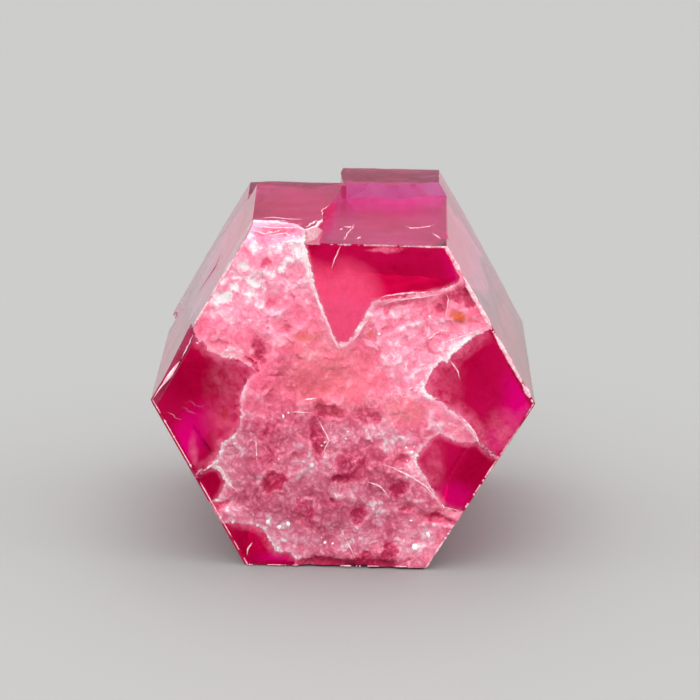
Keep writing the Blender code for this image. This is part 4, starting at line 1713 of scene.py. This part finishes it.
@dataclass(frozen=True)
class WornAndHighlightEdge:
    """An edge of the front end, worn, with a painted highlight along it.

    Args:
        start: its first end as (x, z).
        end: its other end as (x, z).
        radius: how thick its bruised, partly highlighted rim is.
        cover: how much of it is bruised and highlighted, from 0 to 1.
        beads: how many small chips lie along it.
    """

    start: tuple[float, float]
    end: tuple[float, float]
    radius: float
    cover: float
    beads: int


TOP_LEFT, TOP_RIGHT, RIGHT = (-1.594, 2.515), (1.538, 2.503), (2.985, 0.044)
LOW_RIGHT, LOW_LEFT, LEFT = (1.377, -2.656), (-1.467, -2.690), (-3.002, -0.044)
# Each edge's pale rim is partly wear, partly a painted highlight along the edge
WORN_AND_HIGHLIGHT_EDGES = (
    WornAndHighlightEdge((-0.66, 2.505), TOP_RIGHT, 0.016, 0.75, 6),
    WornAndHighlightEdge(TOP_RIGHT, RIGHT, 0.034, 1.0, 30),
    WornAndHighlightEdge(RIGHT, LOW_RIGHT, 0.013, 0.5, 34),
    WornAndHighlightEdge(LOW_RIGHT, LOW_LEFT, 0.010, 0.4, 8),
    WornAndHighlightEdge(LOW_LEFT, LEFT, 0.010, 0.7, 4),
    WornAndHighlightEdge(TOP_LEFT, (-2.35, 1.20), 0.018, 0.9, 6),
)


@dataclass
class WornAndHighlightRim:
    """The bruised rim round the front end, with small chips along it; its pale colour is partly wear and
    partly painted highlights along the edges.
    """

    inset: float = 0.015
    half_height: float = 2.7
    spacing: float = 0.04
    bruise_and_highlight_size: float = 0.22
    unevenness: float = 0.4
    bump_size: float = 0.07
    bead: float = 0.022
    bead_depth: float = 0.6
    first_seed: int = 5

    def build(self) -> Piece:
        """Builds, dresses and places the rim."""
        bm = bmesh.new()
        for number, edge in enumerate(WORN_AND_HIGHLIGHT_EDGES):
            shrunk = 1 - self.inset / self.half_height
            first, last = np.array(edge.start) * shrunk, np.array(edge.end) * shrunk
            count = round(np.linalg.norm(last - first) / self.spacing)
            line = np.array([first + (last - first) * share for share in np.linspace(0, 1, count + 1)])
            for start, end in zip(line, line[1:]):
                bruise_and_highlight = lumps(start[0], number * Layer.RIM_STEP, start[1], self.bruise_and_highlight_size)
                strength = 0.5 + bruise_and_highlight - (1 - edge.cover)
                if strength > 0:
                    uneven = 1 + self.unevenness * lumps(*start, Layer.RIM, self.bump_size)
                    radius = edge.radius * min(1.0, 0.5 + strength) * uneven
                    ends = [Vector((x, self.inset, z)) for x, z in (start, end)]
                    rod(bm, *ends, radius, radius)
            chance = np.random.default_rng(number + self.first_seed)
            for share in chance.random(edge.beads):
                place = first + (last - first) * share
                size = self.bead * (0.4 + 0.6 * chance.random())
                moved = Matrix.Translation((place[0], self.inset * self.bead_depth, place[1]))
                matrix = moved @ Matrix.Diagonal((size, size * self.bead_depth, size, 1.0))
                bmesh.ops.create_icosphere(bm, subdivisions=1, radius=1.0, matrix=matrix)
        rim = to_object("worn_and_highlight_rim", bm)
        # Its pale colours are partly wear, partly painted highlights along the edges
        settle(rim, WornAndHighlightBeryl("worn_and_highlight_beryl", (0.86, 0.28, 0.40), (1.0, 0.72, 0.76)).material())
        return rim


GLINT_SEED = 11
# Small white flakes as (x, z, radius): painted glints, their white standing in for sparkles of light.
GLINTS = (
    (-0.94, -0.26, 0.035), (-0.86, -0.20, 0.015), (0.08, -0.48, 0.022), (0.05, -0.59, 0.018),
    (1.08, -0.79, 0.035), (1.16, -0.84, 0.022), (1.00, -0.72, 0.020), (1.12, -0.70, 0.015),
    (1.02, -0.93, 0.016), (-1.15, -1.97, 0.035), (-0.97, -2.06, 0.040), (-0.83, -2.01, 0.050),
    (-0.24, -2.29, 0.030), (-0.12, -2.30, 0.028), (1.18, -2.32, 0.055), (1.38, -2.12, 0.050),
    (1.10, -1.90, 0.030), (-2.30, 0.88, 0.025), (1.31, 1.39, 0.022), (0.53, 1.11, 0.026),
    (0.40, 1.17, 0.015), (-0.33, -0.72, 0.022), (-0.28, -0.66, 0.015), (-1.70, -0.72, 0.020),
    (-1.62, -0.75, 0.014), (-1.45, -1.60, 0.022), (-1.20, 2.00, 0.020), (-1.12, 2.05, 0.016),
    (-0.30, -2.20, 0.015), (0.55, -1.62, 0.018), (0.20, -0.95, 0.014), (-1.00, -0.95, 0.014),
    (1.60, 0.88, 0.012),
)


def build_glints(
    flatness: float = 0.45, proud: float = 0.15, jag: float = 0.7, jag_size: float = 0.035
) -> Piece:
    """Builds the painted glints: small bright white flakes that stand out of the milky zone.

    Args:
        flatness: how thick a flake is, as a share of its radius.
        proud: how far its middle stands out of the surface, as a share of its radius.
        jag: how far its jags reach, as a share of its radius.
        jag_size: about how wide a jag is.

    Returns:
        The flakes, as one piece.
    """
    bm = bmesh.new()
    chance = np.random.default_rng(GLINT_SEED)
    depths = surface_depth(np.array([(x, z) for x, z, _ in GLINTS]))
    for (x, z, radius), depth in zip(GLINTS, depths):
        axes = Matrix.Diagonal((radius, radius * flatness, radius * (0.5 + 0.5 * chance.random()), 1.0))
        turned = Matrix.Rotation(chance.random() * math.pi, 4, "Y")
        matrix = Matrix.Translation((x, depth - radius * proud, z)) @ turned @ axes
        flake = bmesh.ops.create_icosphere(bm, subdivisions=1, radius=1.0, matrix=matrix)["verts"]
        for vert in flake:
            offset = vert.co - matrix.translation
            vert.co += offset * jag * lumps(*vert.co, jag_size)
    glints = to_object("glints", bm)
    # Near-white flakes: painted glints
    settle(glints, WornAndHighlightBeryl("painted_glint_beryl", (1.0, 0.86, 0.88), (1.0, 0.97, 0.97), 0.12).material())
    return glints


# ---- Stage ----


@dataclass
class Stage:
    """A plain pale floor, soft light and the camera."""

    azimuth: float = -0.5
    elevation: float = 12.0
    roll: float = 1.3
    distance: float = 49.5
    pixels_per_mm: float = 64.0
    picture_width: float = 700.0
    sensor_width: float = 36.0
    middle_px: tuple[float, float] = (343.5, 402.0)
    floor_colour: Colour = (0.30, 0.30, 0.297)
    sky_behind: tuple[tuple[float, float], ...] = (
        (0.0, 0.60), (0.07, 0.50), (0.14, 0.12), (0.30, 0.30), (0.60, 2.1))
    sky_in_front: tuple[tuple[float, float], ...] = (
        (0.0, 0.55), (0.07, 0.55), (0.20, 0.80), (0.40, 1.3), (0.60, 2.1))
    floor_gap: float = 0.02
    floor_size: float = 0.8
    lamp_place: tuple[float, float, float] = (-25.0, -80.0, 70.0)
    lamp_size: float = 60.0
    lamp_power: float = 0.02

    def camera(self) -> Piece:
        """The camera, close in front of the crystal and a little above it."""
        data = bpy.data.cameras.new("camera")
        focal_px = self.pixels_per_mm * self.distance
        data.sensor_width = self.sensor_width
        data.lens = focal_px * self.sensor_width / self.picture_width
        data.clip_start = 1 * MM
        data.clip_end = 10.0
        turn, lift, roll = map(math.radians, (self.azimuth, self.elevation, self.roll))
        forward = Vector((math.sin(turn) * math.cos(lift), math.cos(turn) * math.cos(lift), -math.sin(lift)))
        right = Vector((math.cos(turn), -math.sin(turn), 0.0))
        up = right.cross(forward)
        shown_right = right * math.cos(roll) + up * math.sin(roll)
        shown_up = up * math.cos(roll) - right * math.sin(roll)
        half = self.picture_width / 2
        aside = (self.middle_px[0] - half) / self.pixels_per_mm
        above = (half - self.middle_px[1]) / self.pixels_per_mm
        place = -forward * self.distance - shown_right * aside - shown_up * above
        turned = Matrix((shown_right, shown_up, -forward)).transposed().to_4x4()
        camera = bpy.data.objects.new("camera", data)
        camera.matrix_world = Matrix.Translation(front_centre() + place * MM) @ turned
        bpy.context.scene.collection.objects.link(camera)
        bpy.context.scene.camera = camera
        return camera

    def floor(self) -> Piece:
        """A wide pale floor."""
        bm = bmesh.new()
        bmesh.ops.create_grid(bm, x_segments=1, y_segments=1, size=self.floor_size)
        bmesh.ops.translate(bm, verts=bm.verts, vec=(0.0, 0.0, -self.floor_gap * MM))
        mesh = bpy.data.meshes.new("floor")
        bm.to_mesh(mesh)
        bm.free()
        floor = bpy.data.objects.new("floor", mesh)
        bpy.context.scene.collection.objects.link(floor)
        material, _, shader = new_material("floor")
        shader.inputs["Base Color"].default_value = (*self.floor_colour, 1.0)
        shader.inputs["Roughness"].default_value = 0.7
        mesh.materials.append(material)
        return floor

    def world(self) -> None:
        """A soft dome: pale at the horizon, brightest overhead, brighter in front than behind."""
        world = bpy.data.worlds.new("studio")
        bpy.context.scene.world = world
        world.use_nodes = True
        nodes = Nodes(world.node_tree)
        background = world.node_tree.nodes["Background"]
        direction = nodes.add("ShaderNodeTexCoord").outputs["Generated"]
        parts = nodes.add("ShaderNodeSeparateXYZ")
        nodes.feed(parts.inputs[0], direction)
        levels = []
        for stops in (self.sky_behind, self.sky_in_front):
            greys = [(position, (level, level, level)) for position, level in stops]
            levels.append(nodes.ramp(parts.outputs["Z"], greys))
        behind = nodes.span(parts.outputs["Y"], -0.2, 0.3, 1.0, 0.0)
        nodes.feed(background.inputs["Color"], nodes.mix(behind, *levels))

    def lamp(self) -> None:
        """A large soft lamp above and in front of the crystal."""
        data = bpy.data.lights.new("softbox", "AREA")
        data.shape = "DISK"
        data.size = self.lamp_size * MM
        data.energy = self.lamp_power
        lamp = bpy.data.objects.new("softbox", data)
        place = Vector(self.lamp_place) * MM
        lamp.location = place
        lamp.rotation_mode = "QUATERNION"
        lamp.rotation_quaternion = (-place).to_track_quat("-Z", "Y")
        bpy.context.scene.collection.objects.link(lamp)

    def build(self) -> None:
        """Sets up the whole stage."""
        self.camera()
        self.floor()
        self.world()
        self.lamp()
        scene = bpy.context.scene
        scene.view_settings.view_transform = "Standard"
        scene.cycles.max_bounces = 24
        scene.cycles.transmission_bounces = 20
        scene.cycles.transparent_max_bounces = 24


def main() -> None:
    """Builds the crystal and its stage."""
    logging.basicConfig(level=logging.INFO, format="%(name)s: %(message)s")
    Stage().build()
    ClearBody().build()
    MilkyZone().build()
    CloudyInside().build()
    build_veils()
    BevelPaintedShade().build()
    build_cracks()
    WornAndHighlightRim().build()
    build_glints()


if __name__ == "__main__":
    main()
